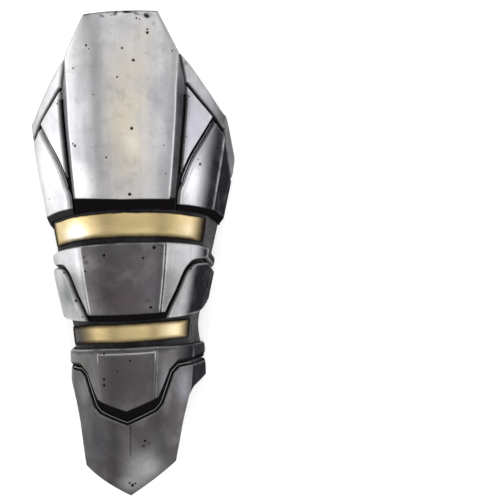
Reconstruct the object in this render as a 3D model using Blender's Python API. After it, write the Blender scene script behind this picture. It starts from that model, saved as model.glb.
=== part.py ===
# A rigid forearm gauntlet: an open-backed shell with separate plates seated on it.
# It lies on its two long back edges. +X is across, +Y runs to the elbow, +Z is up.
# Metres. The origin is under the middle of the gauntlet, on the floor.
import math

import bpy
import numpy as np
from mathutils.geometry import delaunay_2d_cdt

# Overall sizes. MIDDLE is where the middle of the outline lies along, as a share of LENGTH.
LENGTH = 0.360
MIDDLE = 0.0027
CROWN_HEIGHT = 0.089
BACK_WIDTH = 0.160
SKEW = 0.035

# Walls, gaps and plate heights above the shell. EDGE_SHARE is how much of a thin plate's
# height stands straight at its edge.
SHELL_WALL = 0.003
SEAT_GAP = 0.0004
GROOVE = 0.0024
WRIST_GROOVE = 0.0038
SHELL_INSET = 0.0022
FLOOR_CLEARANCE = 0.0015
PLATE_FOOT = 0.0022
PANEL_HEIGHT = 0.0085
RIM_HEIGHT = 0.0045
LEAF_HEIGHT = 0.0050
BAND_HEIGHT = 0.0015
MID_HEIGHT = 0.0045
PAD_HEIGHT = 0.0056
COLLAR_HEIGHT = 0.0042
FIELD_RISE = 0.0020
HAND_HEIGHT = 0.0032
PLATE_BEVEL = 0.0011
PAD_BEVEL = 0.0022
HEM_BEVEL = 0.0050
EDGE_SHARE = 0.6

# Mesh fineness: facets are short round the shell and long along it
SPACING = 0.0066
STRETCH = 2.2
CURVE_STEPS = 3
ARC_STEPS = 12
GRID_MARGIN = 0.45
MERGE_DISTANCE = 1e-6
CREASE_BLEND = 0.006
ARC_ANGLE = math.radians(45)
SHARP_ANGLE = math.radians(18)

# The shell's outer face. Columns: along (share of LENGTH), crown (share of CROWN_HEIGHT),
# crease_out (share of half BACK_WIDTH), crease_up (share of CROWN_HEIGHT),
# back_out (share of half BACK_WIDTH).
SECTIONS = (
    (-0.514, 0.562, 0.388, 0.371, 0.513),
    (-0.436, 0.640, 0.444, 0.404, 0.550),
    (-0.347, 0.753, 0.488, 0.427, 0.606),
    (-0.272, 0.798, 0.538, 0.427, 0.663),
    (-0.208, 0.820, 0.556, 0.438, 0.644),
    (-0.150, 0.843, 0.563, 0.449, 0.619),
    (-0.100, 0.865, 0.613, 0.461, 0.663),
    (-0.042, 0.893, 0.669, 0.472, 0.719),
    (0.014, 0.921, 0.706, 0.483, 0.769),
    (0.056, 0.938, 0.725, 0.494, 0.813),
    (0.117, 0.961, 0.766, 0.506, 0.875),
    (0.208, 0.983, 0.838, 0.517, 0.956),
    (0.289, 0.994, 0.888, 0.517, 0.988),
    (0.417, 1.000, 0.913, 0.517, 1.000),
    (0.514, 1.000, 0.919, 0.517, 1.000),
)

# Seams and edges of the right half. Columns: across (0 centre, 1 crease, 2 back edge),
# along (share of LENGTH).
BACK = 2.0
ELBOW_TOP = ((0.326, 0.5048), (0.512, 0.4240))
ELBOW_SLOPE = ((0.612, 0.4000), (0.795, 0.3510), (0.975, 0.3080), (1.100, 0.2955), (1.290, 0.2820))
ELBOW_CORNER = ((1.930, 0.2280), (BACK, 0.2140))
PANEL_SIDE = ((0.566, 0.370), (0.572, 0.340), (0.564, 0.270), (0.562, 0.200))
PANEL_HEM = 0.0960
PANEL_CORNER = (0.562, PANEL_HEM)
RIM_SEAM_IN = ((0.568, 0.361), (0.705, 0.329), (0.868, 0.2960))
RIM_SEAM_OUT = ((0.868, 0.2960), (1.000, 0.2695), (1.250, 0.2390), (1.450, 0.2165), (BACK, 0.1710))
LEAF_SEAM = ((0.868, 0.2960), (0.760, 0.2530), (0.655, 0.2110), (0.590, 0.1720), (0.562, 0.1390))
UPPER_HEM = (PANEL_CORNER, (0.750, 0.0935), (0.930, 0.0880), (1.050, 0.0850), (BACK, 0.0700))
BAND_END = 0.960
UPPER_BAND_TOP = ((0.000, PANEL_HEM), PANEL_CORNER, (BAND_END, 0.0870))
UPPER_BAND_FOOT = ((BAND_END, 0.0360), (0.500, 0.0445), (0.000, 0.0470))
MID_TOP = ((0.000, 0.0350), (0.500, 0.0330), (0.870, 0.0290), (1.000, 0.0240), (1.500, 0.0110))
MID_WRAP_TOP = (BACK, -0.0010)
MID_WRAP_FOOT = (BACK, -0.0300)
PAD_SEAM = (
    (1.000, -0.0078),
    (0.840, -0.0095),
    (0.770, -0.0190),
    (0.720, -0.0330),
    (0.650, -0.0690),
    (0.575, -0.1000),
    (0.540, -0.1170),
    (0.515, -0.1280),
)
PAD_HEM = ((0.700, -0.1285), (0.850, -0.1275), (1.000, -0.1255), (1.500, -0.1200), (BACK, -0.1030))
MID_HEM = -0.1285
LOWER_BAND_TOP = ((0.000, -0.1290), (0.500, -0.1310), (BAND_END, -0.1365))
LOWER_BAND_FOOT = ((BAND_END, -0.1835), (0.500, -0.1785), (0.000, -0.1770))
COLLAR_TOP = ((0.000, -0.1883), (0.400, -0.1885), (0.950, -0.1910), (BACK, -0.1965))
WRIST_SEAM = (
    (BACK, -0.2320),
    (1.000, -0.2275),
    (0.770, -0.2270),
    (0.665, -0.2390),
    (0.515, -0.3030),
    (0.435, -0.3145),
    (0.000, -0.3375),
)
FLANGE = ((BACK, -0.2720), (1.600, -0.2800), (1.200, -0.2885), (1.020, -0.3020))
HAND_SIDE_RIGHT = ((0.975, -0.347), (0.890, -0.4420))
HAND_SIDE_LEFT = ((1.000, -0.347), (1.000, -0.4460))
HAND_TIP = -0.5048

# Faces of the raised fields, right half. Columns as above.
PANEL_FACE = (
    (0.000, 0.4985),
    (0.300, 0.4985),
    (0.481, 0.4200),
    (0.458, 0.3500),
    (0.455, 0.2700),
    (0.450, 0.1195),
    (0.000, 0.1195),
)
MID_FIELD_FACE = ((0.000, 0.0600), (0.437, 0.0600), (0.418, -0.1110), (0.000, -0.1110))
MID_FIELD_FOOT = ((0.000, 0.0700), (0.478, 0.0700), (0.466, -0.1300), (0.000, -0.1300))
MID_FACE_HEM = -0.1110
COLLAR_FIELD_FACE = ((0.000, -0.1700), (0.390, -0.1700), (0.360, -0.2925), (0.000, -0.3160))
COLLAR_FIELD_FOOT = ((0.000, -0.1600), (0.425, -0.1600), (0.400, -0.3140), (0.000, -0.3390))
COLLAR_FACE_HEM = ((0.900, -0.2225), (0.765, -0.2210), (0.640, -0.2370), (0.480, -0.2900))
COLLAR_FACE_TIP = ((0.360, -0.2925), (0.000, -0.3160))

# Colours, roughness and metallic value by finish
FINISHES = {
    "dark_lining": ((0.030, 0.029, 0.033), 0.62, 0.6),
    "aged_silver": ((0.560, 0.550, 0.560), 0.34, 1.0),
    "gunmetal": ((0.230, 0.220, 0.235), 0.36, 1.0),
    "aged_brass": ((0.640, 0.500, 0.230), 0.32, 1.0),
}


def clear_scene():
    for obj in list(bpy.data.objects):
        bpy.data.objects.remove(obj, do_unlink=True)


# The shell's section at each place along, as smooth curves through the table.
def sections_at(y):
    table = np.array(SECTIONS)
    stations = table[:, 0] * LENGTH
    index = np.clip(np.searchsorted(stations, y) - 1, 0, len(stations) - 2)
    step = stations[index + 1] - stations[index]
    t = (y - stations[index]) / step
    scales = (CROWN_HEIGHT, BACK_WIDTH / 2, CROWN_HEIGHT, BACK_WIDTH / 2)
    columns = []
    for column, scale in enumerate(scales, 1):
        value = table[:, column] * scale
        slope = np.gradient(value, stations)
        start = (2 * t**3 - 3 * t**2 + 1) * value[index] + (t**3 - 2 * t**2 + t) * step * slope[index]
        end = (3 * t**2 - 2 * t**3) * value[index + 1] + (t**3 - t**2) * step * slope[index + 1]
        columns.append(start + end)
    return columns


# The curved top runs from the crown to the crease, the straight wall from there to the back edge.
def top_arc(share, crown, crease_x, crease_z):
    angle = share * ARC_ANGLE
    x = crease_x * np.sin(angle) / math.sin(ARC_ANGLE)
    z = crown - (crown - crease_z) * (1 - np.cos(angle)) / (1 - math.cos(ARC_ANGLE))
    return x, z


def girths(y):
    crown, crease_x, crease_z, back_x = sections_at(y)
    shares = np.linspace(0, 1, ARC_STEPS + 1)[:, None]
    x, z = top_arc(shares, crown, crease_x, crease_z)
    top = np.hypot(np.diff(x, axis=0), np.diff(z, axis=0)).sum(axis=0)
    return top, np.hypot(back_x - crease_x, crease_z)


# A flat point is (distance round the shell from the centre line, distance along), in metres.
def flat(points):
    across, along = np.array(points, float).T
    y = along * LENGTH
    top, wall = girths(y)
    share = np.abs(across)
    distance = np.minimum(share, 1) * top + np.maximum(share - 1, 0) * wall
    return np.column_stack([np.sign(across) * distance, y])


# Puts flat points on the shell, raised along its normal by height.
def wrap(points, height):
    s, y = points.T
    crown, crease_x, crease_z, back_x = sections_at(y)
    top, wall = girths(y)
    distance = np.abs(s)
    share = np.minimum(distance / top, 1)
    down = np.maximum(distance - top, 0) / wall
    x, z = top_arc(share, crown, crease_x, crease_z)
    x = x + (back_x - crease_x) * down
    z = np.where(down > 0, crease_z * (1 - down), z)
    angle = share * ARC_ANGLE
    run = crease_x * np.cos(angle) / math.sin(ARC_ANGLE)
    fall = (crown - crease_z) * np.sin(angle) / (1 - math.cos(ARC_ANGLE))
    arc_tilt = np.arctan2(fall, run)
    wall_tilt = math.pi / 2 - np.arctan2(back_x - crease_x, crease_z) * np.clip(1 - down, 0, 1)
    blend = np.clip((distance - top) / CREASE_BLEND * 0.5 + 0.5, 0, 1)
    tilt = arc_tilt * (1 - blend) + wall_tilt * blend
    x = np.sign(s) * (x + height * np.sin(tilt))
    z = z + height * np.cos(tilt)
    return np.column_stack([x, y + SKEW * x - MIDDLE * LENGTH, z])


def curve(points):
    points = np.array(points, float)
    padded = np.vstack([2 * points[0] - points[1], points, 2 * points[-1] - points[-2]])
    run = [points[0]]
    for a, b, c, d in zip(padded, padded[1:], padded[2:], padded[3:]):
        for step in range(1, CURVE_STEPS + 1):
            t = step / CURVE_STEPS
            run.append(0.5 * (2 * b + (c - a) * t + (2 * a - 5 * b + 4 * c - d) * t**2
                              + (3 * b - a - 3 * c + d) * t**3))
    return [tuple(point) for point in run]


def mirrored(points):
    return [(-across, along) for across, along in reversed(points)]


# A loop of shares from its right half, which runs from the centre line round to it again.
def whole(right, left=None):
    return list(right) + mirrored(left or right)


def area_of(loop):
    x, y = loop.T
    return 0.5 * (x * np.roll(y, -1) - y * np.roll(x, -1)).sum()


# A closed loop of flat points, counter-clockwise, with no two at one place.
def closed(points):
    loop = []
    for start, end in zip(points, points[1:] + points[:1]):
        ends = flat([start, end])
        if np.linalg.norm(ends[1] - ends[0]) < SEAT_GAP:
            continue
        length = np.linalg.norm((ends[1] - ends[0]) / (1, STRETCH))
        steps = max(1, round(length / SPACING))
        for step in range(steps):
            t = step / steps
            loop.append((start[0] + (end[0] - start[0]) * t, start[1] + (end[1] - start[1]) * t))
    loop = flat(loop)
    return loop if area_of(loop) > 0 else loop[::-1]


def distance_to(loop, points, is_open=False):
    along = np.roll(loop, -1, axis=0) - loop
    if is_open:
        along = along[:-1]
        loop = loop[:-1]
    offset = points[:, None] - loop
    t = np.clip((offset * along).sum(axis=2) / (along * along).sum(axis=1), 0, 1)
    return np.linalg.norm(offset - t[..., None] * along, axis=2).min(axis=1)


def inside(loop, points):
    start = loop
    end = np.roll(loop, -1, axis=0)
    x, y = points[:, :1], points[:, 1:]
    spans = (start[:, 1] > y) != (end[:, 1] > y)
    rise = np.where(start[:, 1] == end[:, 1], 1, end[:, 1] - start[:, 1])
    crossing = start[:, 0] + (y - start[:, 1]) * (end[:, 0] - start[:, 0]) / rise
    return (spans & (x < crossing)).sum(axis=1) % 2 == 1


# Moves a loop inwards, and drops the points that a sharp corner has overrun.
def inset(loop, distance):
    before = loop - np.roll(loop, 1, axis=0)
    after = np.roll(loop, -1, axis=0) - loop
    normals = []
    for edge in (before, after):
        edge = edge / np.linalg.norm(edge, axis=1)[:, None]
        normals.append(np.column_stack([-edge[:, 1], edge[:, 0]]))
    facing = (normals[0] * normals[1]).sum(axis=1)
    moved = loop + (normals[0] + normals[1]) / (1 + facing)[:, None] * distance
    return moved[distance_to(loop, moved) > distance - 2 * MERGE_DISTANCE]


# How far each point has climbed from the outer loop, 0, to the inner loop, 1.
def climb(points, outer, inner):
    from_outer = distance_to(outer, points)
    from_inner = distance_to(inner, points)
    share = from_outer / np.maximum(from_outer + from_inner, MERGE_DISTANCE)
    share = np.where(inside(inner, points), 1, share)
    on_outer = from_outer < MERGE_DISTANCE
    return np.where(inside(outer, points) | on_outer, np.where(on_outer, 0, share), 0)


def crease_lines():
    y = np.linspace(SECTIONS[0][0], SECTIONS[-1][0], round(LENGTH / SPACING / STRETCH)) * LENGTH
    top, _ = girths(y)
    return [np.column_stack([side * top, y]) for side in (-1, 1)]


def grid_points(outline, loops, open_lines):
    low = outline.min(axis=0)
    high = outline.max(axis=0)
    columns = np.arange(math.floor(low[0] / SPACING), math.ceil(high[0] / SPACING) + 1) * SPACING
    rows = np.arange(math.floor(low[1] / SPACING), math.ceil(high[1] / SPACING) + 1) * SPACING
    points = np.array([(s, y) for y in rows for s in columns])
    points = points[inside(outline, points)]
    for loop in loops:
        points = points[distance_to(loop, points) > SPACING * GRID_MARGIN]
    for line in open_lines:
        points = points[distance_to(line, points, is_open=True) > SPACING * GRID_MARGIN]
    return points


# Triangles of a flat outline that follow its inner loops and both creases. They are made on
# points squeezed along, so that the facets come out long in that direction.
def triangulate(outline, loops):
    squeeze = np.array((1, 1 / STRETCH))
    outline = outline * squeeze
    loops = [loop * squeeze for loop in loops]
    creases = [line * squeeze for line in crease_lines()]
    points = []
    edges = []
    for loop in [outline] + loops:
        first = len(points)
        points.extend(loop)
        edges.extend((first + i, first + (i + 1) % len(loop)) for i in range(len(loop)))
    for line in creases:
        first = len(points)
        points.extend(line)
        edges.extend((first + i, first + i + 1) for i in range(len(line) - 1))
    points.extend(grid_points(outline, [outline] + loops, creases))
    made = delaunay_2d_cdt([tuple(p) for p in points], edges, [], 1, MERGE_DISTANCE, False)
    corners = np.array([tuple(v) for v in made[0]])
    triangles = np.array([tuple(f) for f in made[2]])
    kept = inside(outline, corners[triangles].mean(axis=1))
    triangles = triangles[kept]
    used = np.unique(triangles)
    place = np.full(len(corners), -1)
    place[used] = np.arange(len(used))
    return corners[used] / squeeze, place[triangles]


def boundary(triangles):
    sides = [tuple(pair) for t in triangles for pair in ((t[0], t[1]), (t[1], t[2]), (t[2], t[0]))]
    known = set(sides)
    return [pair for pair in sides if (pair[1], pair[0]) not in known]


def material(name, finish):
    colour, roughness, metallic = FINISHES[finish]
    made = bpy.data.materials.new(f"{name}_{finish}")
    made.use_nodes = True
    shader = made.node_tree.nodes["Principled BSDF"]
    shader.inputs["Base Color"].default_value = (*colour, 1)
    shader.inputs["Roughness"].default_value = roughness
    shader.inputs["Metallic"].default_value = metallic
    made.diffuse_color = (*colour, 1)
    return made


# One closed solid between two heights above the shell. upper is one height or one for each point.
def solid(name, finish, corners, triangles, lower, upper):
    points = np.vstack([wrap(corners, lower), wrap(corners, upper)])
    count = len(corners)
    faces = [tuple(int(i) for i in t[::-1]) for t in triangles]
    faces += [tuple(int(i) + count for i in t) for t in triangles]
    for a, b in boundary(triangles):
        faces.append((int(a), int(b), int(b) + count))
        faces.append((int(a), int(b) + count, int(a) + count))
    mesh = bpy.data.meshes.new(name)
    mesh.from_pydata([tuple(p) for p in points], [], faces)
    mesh.shade_smooth()
    mesh.set_sharp_from_angle(angle=SHARP_ANGLE)
    mesh.materials.append(material(name, finish))
    made = bpy.data.objects.new(name, mesh)
    bpy.context.scene.collection.objects.link(made)
    return made


# A plate seated on the shell: its wall stands to foot, then it climbs to height at its face.
# Each field is (foot loop, face loop, rise) for a part that stands higher.
def plate(name, finish, outline, height, face=None, foot=PLATE_FOOT, bevel=PLATE_BEVEL, fields=()):
    face = inset(outline, bevel) if face is None else face
    loops = [face] + [loop for field in fields for loop in field[:2]]
    corners, triangles = triangulate(outline, loops)
    heights = foot + (height - foot) * climb(corners, outline, face)
    for field_foot, field_face, rise in fields:
        heights = heights + rise * climb(corners, field_foot, field_face)
    return solid(name, finish, corners, triangles, SEAT_GAP, heights)


def seamed(points):
    return inset(closed(points), GROOVE / 2)


# Keeps a plate's loop off the floor.
def lifted(loop):
    top, wall = girths(loop[:, 1])
    reach = top + wall - FLOOR_CLEARANCE
    return np.column_stack([np.clip(loop[:, 0], -reach, reach), loop[:, 1]])


def sided(name, points, right):
    return f"{'right' if right else 'left'}_{name}", points if right else mirrored(points)


def make_shell():
    right = [(0, ELBOW_TOP[0][1])] + list(ELBOW_TOP) + curve(ELBOW_SLOPE) + list(ELBOW_CORNER)
    tail = [(0, HAND_TIP)]
    rim = right + curve(FLANGE) + list(HAND_SIDE_RIGHT) + tail
    other = right + curve(FLANGE) + list(HAND_SIDE_LEFT) + tail
    outline = inset(closed(whole(rim, other)), SHELL_INSET)
    top, wall = girths(outline[:, 1])
    back = np.abs(outline[:, 0]) > top + wall - 2 * SHELL_INSET
    outline[back, 0] = np.sign(outline[back, 0]) * (top + wall)[back]
    corners, triangles = triangulate(outline, [])
    return solid("arm_shell", "dark_lining", corners, triangles, -SHELL_WALL, 0.0)


def make_centre_panel():
    side = list(ELBOW_TOP) + curve(PANEL_SIDE + (PANEL_CORNER,))
    right = [(0, ELBOW_TOP[0][1])] + side + [(0, PANEL_HEM)]
    face = closed(whole(PANEL_FACE))
    plate("centre_panel", "aged_silver", seamed(whole(right)), PANEL_HEIGHT, face)


def make_rim(right):
    seam = curve(RIM_SEAM_IN) + curve(RIM_SEAM_OUT)
    edge = (curve(ELBOW_SLOPE) + list(ELBOW_CORNER))[::-1]
    name, points = sided("rim", [ELBOW_TOP[1], PANEL_SIDE[0]] + seam + edge, right)
    plate(name, "aged_silver", lifted(seamed(points)), RIM_HEIGHT)


def make_upper_leaf(right):
    side = list(PANEL_SIDE[:0:-1])
    name, points = sided("upper_leaf", curve(RIM_SEAM_IN) + curve(LEAF_SEAM) + side, right)
    plate(name, "aged_silver", seamed(points), LEAF_HEIGHT)


# The face of a plate whose hem slopes down over a wider bevel than its other edges.
def hem_face(outline, hem):
    face = inset(outline, PLATE_BEVEL)
    line = flat(hem)
    hem_y = np.interp(np.abs(face[:, 0]), line[:, 0], line[:, 1])
    return np.column_stack([face[:, 0], np.maximum(face[:, 1], hem_y + HEM_BEVEL)])


def make_flank(right):
    seam = curve(LEAF_SEAM)[::-1] + curve(RIM_SEAM_OUT)
    hem = curve(UPPER_HEM)
    name, points = sided("flank", seam + hem[::-1], right)
    outline = lifted(seamed(points))
    plate(name, "aged_silver", outline, LEAF_HEIGHT, hem_face(outline, hem))


def make_band(name, top, foot):
    outline = seamed(whole(curve(top) + curve(foot)))
    plate(name, "aged_brass", outline, BAND_HEIGHT, foot=BAND_HEIGHT * EDGE_SHARE)


def make_mid_plate():
    right = curve(MID_TOP + (MID_WRAP_TOP,)) + [MID_WRAP_FOOT] + curve(PAD_SEAM) + [(0, MID_HEM)]
    outline = lifted(seamed(whole(right)))
    face = inset(outline, PLATE_BEVEL)
    face[:, 1] = np.maximum(face[:, 1], MID_FACE_HEM * LENGTH)
    field = (closed(whole(MID_FIELD_FOOT)), closed(whole(MID_FIELD_FACE)), FIELD_RISE)
    plate("mid_plate", "gunmetal", outline, MID_HEIGHT, face, fields=[field])


def make_pad(right):
    name, points = sided("pad", [MID_WRAP_FOOT] + curve(PAD_SEAM) + curve(PAD_HEM), right)
    plate(name, "gunmetal", lifted(seamed(points)), PAD_HEIGHT, bevel=PAD_BEVEL)


def make_wrist_collar():
    right = curve(COLLAR_TOP) + list(WRIST_SEAM)
    outline = lifted(seamed(whole(right)))
    hem = [(BACK, COLLAR_FACE_HEM[0][1])] + list(COLLAR_FACE_HEM + COLLAR_FACE_TIP)
    face = lifted(inset(closed(whole(curve(COLLAR_TOP) + hem)), PLATE_BEVEL + GROOVE / 2))
    field = (closed(whole(COLLAR_FIELD_FOOT)), closed(whole(COLLAR_FIELD_FACE)), FIELD_RISE)
    plate("wrist_collar", "gunmetal", outline, COLLAR_HEIGHT, face, fields=[field])


def make_hand_plate():
    start = list(WRIST_SEAM)[::-1] + curve(FLANGE)
    right = start + list(HAND_SIDE_RIGHT) + [(0, HAND_TIP)]
    left = start + list(HAND_SIDE_LEFT) + [(0, HAND_TIP)]
    outline = lifted(inset(closed(whole(right, left)), WRIST_GROOVE / 2))
    plate("hand_plate", "gunmetal", outline, HAND_HEIGHT, foot=HAND_HEIGHT * EDGE_SHARE)


def main():
    clear_scene()
    make_shell()
    make_centre_panel()
    for right in (False, True):
        make_rim(right)
        make_upper_leaf(right)
        make_flank(right)
        make_pad(right)
    make_band("upper_band", UPPER_BAND_TOP, UPPER_BAND_FOOT)
    make_mid_plate()
    make_band("lower_band", LOWER_BAND_TOP, LOWER_BAND_FOOT)
    make_wrist_collar()
    make_hand_plate()


main()
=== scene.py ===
import math
import bpy
import numpy as np
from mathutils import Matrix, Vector
from mathutils.bvhtree import BVHTree
from mathutils.geometry import delaunay_2d_cdt


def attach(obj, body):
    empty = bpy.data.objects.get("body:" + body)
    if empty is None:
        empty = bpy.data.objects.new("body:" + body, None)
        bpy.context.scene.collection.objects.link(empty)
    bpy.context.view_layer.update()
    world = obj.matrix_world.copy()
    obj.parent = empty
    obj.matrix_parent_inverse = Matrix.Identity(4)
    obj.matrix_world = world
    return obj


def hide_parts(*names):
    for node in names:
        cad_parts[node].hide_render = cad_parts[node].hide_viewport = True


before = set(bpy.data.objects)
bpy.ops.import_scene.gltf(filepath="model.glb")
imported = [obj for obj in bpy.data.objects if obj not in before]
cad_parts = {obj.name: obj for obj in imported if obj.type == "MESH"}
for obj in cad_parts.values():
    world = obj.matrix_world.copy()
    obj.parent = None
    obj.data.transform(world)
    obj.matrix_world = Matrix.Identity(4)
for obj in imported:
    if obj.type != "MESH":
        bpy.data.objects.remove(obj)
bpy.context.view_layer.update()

# Sizes of the gauntlet, in metres. They are the frame's, so every piece sits where its solid is.
gauntlet = {
    "length": 0.360,
    "middle": 0.0027,  # middle of the outline along, share of length
    "crownHeight": 0.089,
    "backWidth": 0.160,
    "skew": 0.035,
    "shellWall": 0.003,
    "seatGap": 0.0004,
    "floorClearance": 0.0015,
    "arcAngle": math.radians(45),
    "creaseBlend": 0.003,  # how wide the ridge between top and side is rounded
}

length = gauntlet["length"]
arcAngle = gauntlet["arcAngle"]

# How fine the meshes are, in metres
fineness = {"plates": 0.0013, "shell": 0.0026, "curveSteps": 8, "arcSteps": 12}
merge = 1e-6  # points closer than this are one

# Columns: along (share of length), crown (share of crownHeight), creaseOut (share of half
# backWidth), creaseUp (share of crownHeight), backOut (share of half backWidth)
sections = np.array((
    (-0.514, 0.562, 0.388, 0.371, 0.513),
    (-0.436, 0.640, 0.444, 0.404, 0.550),
    (-0.347, 0.753, 0.488, 0.427, 0.606),
    (-0.272, 0.798, 0.538, 0.427, 0.663),
    (-0.208, 0.820, 0.556, 0.438, 0.644),
    (-0.150, 0.843, 0.563, 0.449, 0.619),
    (-0.100, 0.865, 0.613, 0.461, 0.663),
    (-0.042, 0.893, 0.669, 0.472, 0.719),
    (0.014, 0.921, 0.706, 0.483, 0.769),
    (0.056, 0.938, 0.725, 0.494, 0.813),
    (0.117, 0.961, 0.766, 0.506, 0.875),
    (0.208, 0.983, 0.838, 0.517, 0.956),
    (0.289, 0.994, 0.888, 0.517, 0.988),
    (0.417, 1.000, 0.913, 0.517, 1.000),
    (0.514, 1.000, 0.919, 0.517, 1.000),
))

# Seams of the right half: across (0 centre, 1 crease, 2 back edge), along (share of length)
back = 2.0
panelHem = 0.0968
panelCorner = (0.562, panelHem)
elbowTop = ((0.326, 0.5048), (0.512, 0.4240))
elbowSlope = ((0.612, 0.4000), (0.795, 0.3510), (0.975, 0.3080), (1.100, 0.2955), (1.290, 0.2820))
elbowCorner = ((1.930, 0.2280), (back, 0.2140))
panelSide = ((0.566, 0.370), (0.572, 0.340), (0.564, 0.270), (0.562, 0.200))
rimSeamIn = ((0.568, 0.361), (0.705, 0.329), (0.868, 0.2960))
rimSeamOut = ((0.868, 0.2960), (1.000, 0.2695), (1.250, 0.2390), (1.450, 0.2165), (back, 0.1710))
leafSeam = ((0.868, 0.2960), (0.760, 0.2530), (0.655, 0.2110), (0.590, 0.1720), (0.562, 0.1390))
upperHem = (panelCorner, (0.750, 0.0935), (0.930, 0.0880), (1.050, 0.0850), (back, 0.0700))
panelFoot = ((0.562, 0.0968), (0.300, 0.1000), (0.000, 0.1010))
midTop = ((0.000, 0.0408), (0.500, 0.0375), (0.870, 0.0300), (1.000, 0.0240), (1.500, 0.0110))
midWrapTop = (back, -0.0010)
midWrapFoot = (back, -0.0300)
padSeam = ((1.000, -0.0078), (0.840, -0.0095), (0.770, -0.0190), (0.720, -0.0330),
           (0.650, -0.0690), (0.575, -0.1000), (0.540, -0.1170), (0.515, -0.1280))
padHem = ((0.700, -0.1285), (0.850, -0.1275), (1.000, -0.1255), (1.500, -0.1200), (back, -0.1030))
midHem = -0.1285
collarTop = ((0.000, -0.1768), (0.400, -0.1776), (0.950, -0.1842), (back, -0.1915))
wristSeam = ((back, -0.2320), (1.000, -0.2275), (0.770, -0.2270), (0.665, -0.2390),
             (0.515, -0.3030), (0.435, -0.3145), (0.000, -0.3375))
flange = ((back, -0.2720), (1.600, -0.2800), (1.200, -0.2885), (1.020, -0.3020))
handSideRight = ((0.975, -0.347), (0.890, -0.4420))
handSideLeft = ((1.000, -0.347), (1.000, -0.4460))
handTip = -0.5048


def sectionsAt(y):  # the shell's section at each place along, as smooth curves through the table
    stations = sections[:, 0] * length
    index = np.clip(np.searchsorted(stations, y) - 1, 0, len(stations) - 2)
    step = stations[index + 1] - stations[index]
    t = (y - stations[index]) / step
    half = gauntlet["backWidth"] / 2
    columns = []
    crown = gauntlet["crownHeight"]
    for column, scale in enumerate((crown, half, crown, half), 1):
        value = sections[:, column] * scale
        slope = np.gradient(value, stations)
        start = (2 * t**3 - 3 * t**2 + 1) * value[index] + (t**3 - 2 * t**2 + t) * step * slope[index]
        end = (3 * t**2 - 2 * t**3) * value[index + 1] + (t**3 - t**2) * step * slope[index + 1]
        columns.append(start + end)
    return columns


def topArc(share, crown, creaseX, creaseZ):
    angle = share * arcAngle
    x = creaseX * np.sin(angle) / math.sin(arcAngle)
    z = crown - (crown - creaseZ) * (1 - np.cos(angle)) / (1 - math.cos(arcAngle))
    return x, z


def girths(y):  # the way round from the centre line to the crease, and from there to the back edge
    crown, creaseX, creaseZ, backX = sectionsAt(y)
    shares = np.linspace(0, 1, fineness["arcSteps"] + 1)[:, None]
    x, z = topArc(shares, crown, creaseX, creaseZ)
    top = np.hypot(np.diff(x, axis=0), np.diff(z, axis=0)).sum(axis=0)
    return top, np.hypot(backX - creaseX, creaseZ)


def flat(points):  # shares to flat points: distance round from the centre line, distance along
    across, along = np.array(points, float).T
    y = along * length
    top, wall = girths(y)
    share = np.abs(across)
    distance = np.minimum(share, 1) * top + np.maximum(share - 1, 0) * wall
    return np.column_stack([np.sign(across) * distance, y])


def wrap(points, height):  # flat points onto the shell, raised along its normal
    s, y = points.T
    crown, creaseX, creaseZ, backX = sectionsAt(y)
    top, wall = girths(y)
    distance = np.abs(s)
    share = np.minimum(distance / top, 1)
    down = np.maximum(distance - top, 0) / wall
    x, z = topArc(share, crown, creaseX, creaseZ)
    x = x + (backX - creaseX) * down
    z = np.where(down > 0, creaseZ * (1 - down), z)
    angle = share * arcAngle
    run = creaseX * np.cos(angle) / math.sin(arcAngle)
    fall = (crown - creaseZ) * np.sin(angle) / (1 - math.cos(arcAngle))
    wallTilt = math.pi / 2 - np.arctan2(backX - creaseX, creaseZ) * np.clip(1 - down, 0, 1)
    blend = np.clip((distance - top) / gauntlet["creaseBlend"] * 0.5 + 0.5, 0, 1)
    tilt = np.arctan2(fall, run) * (1 - blend) + wallTilt * blend
    x = np.sign(s) * (x + height * np.sin(tilt))
    z = z + height * np.cos(tilt)
    return np.column_stack([x, y + gauntlet["skew"] * x - gauntlet["middle"] * length, z])


def surfaceNormals(points):
    step = 0.0005
    across = wrap(points + (step, 0), 0) - wrap(points - (step, 0), 0)
    along = wrap(points + (0, step), 0) - wrap(points - (0, step), 0)
    normal = np.cross(across, along)
    return normal / np.linalg.norm(normal, axis=1)[:, None]


def curve(points):  # a smooth run through given points
    points = np.array(points, float)
    padded = np.vstack([2 * points[0] - points[1], points, 2 * points[-1] - points[-2]])
    run = [points[0]]
    for a, b, c, d in zip(padded, padded[1:], padded[2:], padded[3:]):
        for step in range(1, fineness["curveSteps"] + 1):
            t = step / fineness["curveSteps"]
            run.append(0.5 * (2 * b + (c - a) * t + (2 * a - 5 * b + 4 * c - d) * t**2
                              + (3 * b - a - 3 * c + d) * t**3))
    return [tuple(point) for point in run]


def mirrored(points):
    return [(-across, along) for across, along in reversed(points)]


def whole(right, left=None):
    return list(right) + mirrored(left or right)


def areaOf(loop):
    x, y = loop.T
    return 0.5 * (x * np.roll(y, -1) - y * np.roll(x, -1)).sum()


# A closed flat loop, counter-clockwise, with points every spacing
def closed(points, spacing=fineness["plates"]):
    loop = []
    for start, end in zip(points, points[1:] + points[:1]):
        ends = flat([start, end])
        span = np.linalg.norm(ends[1] - ends[0])
        if span < spacing / 10:
            continue
        steps = max(1, round(span / spacing))
        for step in range(steps):
            t = step / steps
            loop.append((start[0] + (end[0] - start[0]) * t, start[1] + (end[1] - start[1]) * t))
    loop = flat(loop)
    return loop if areaOf(loop) > 0 else loop[::-1]


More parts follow.
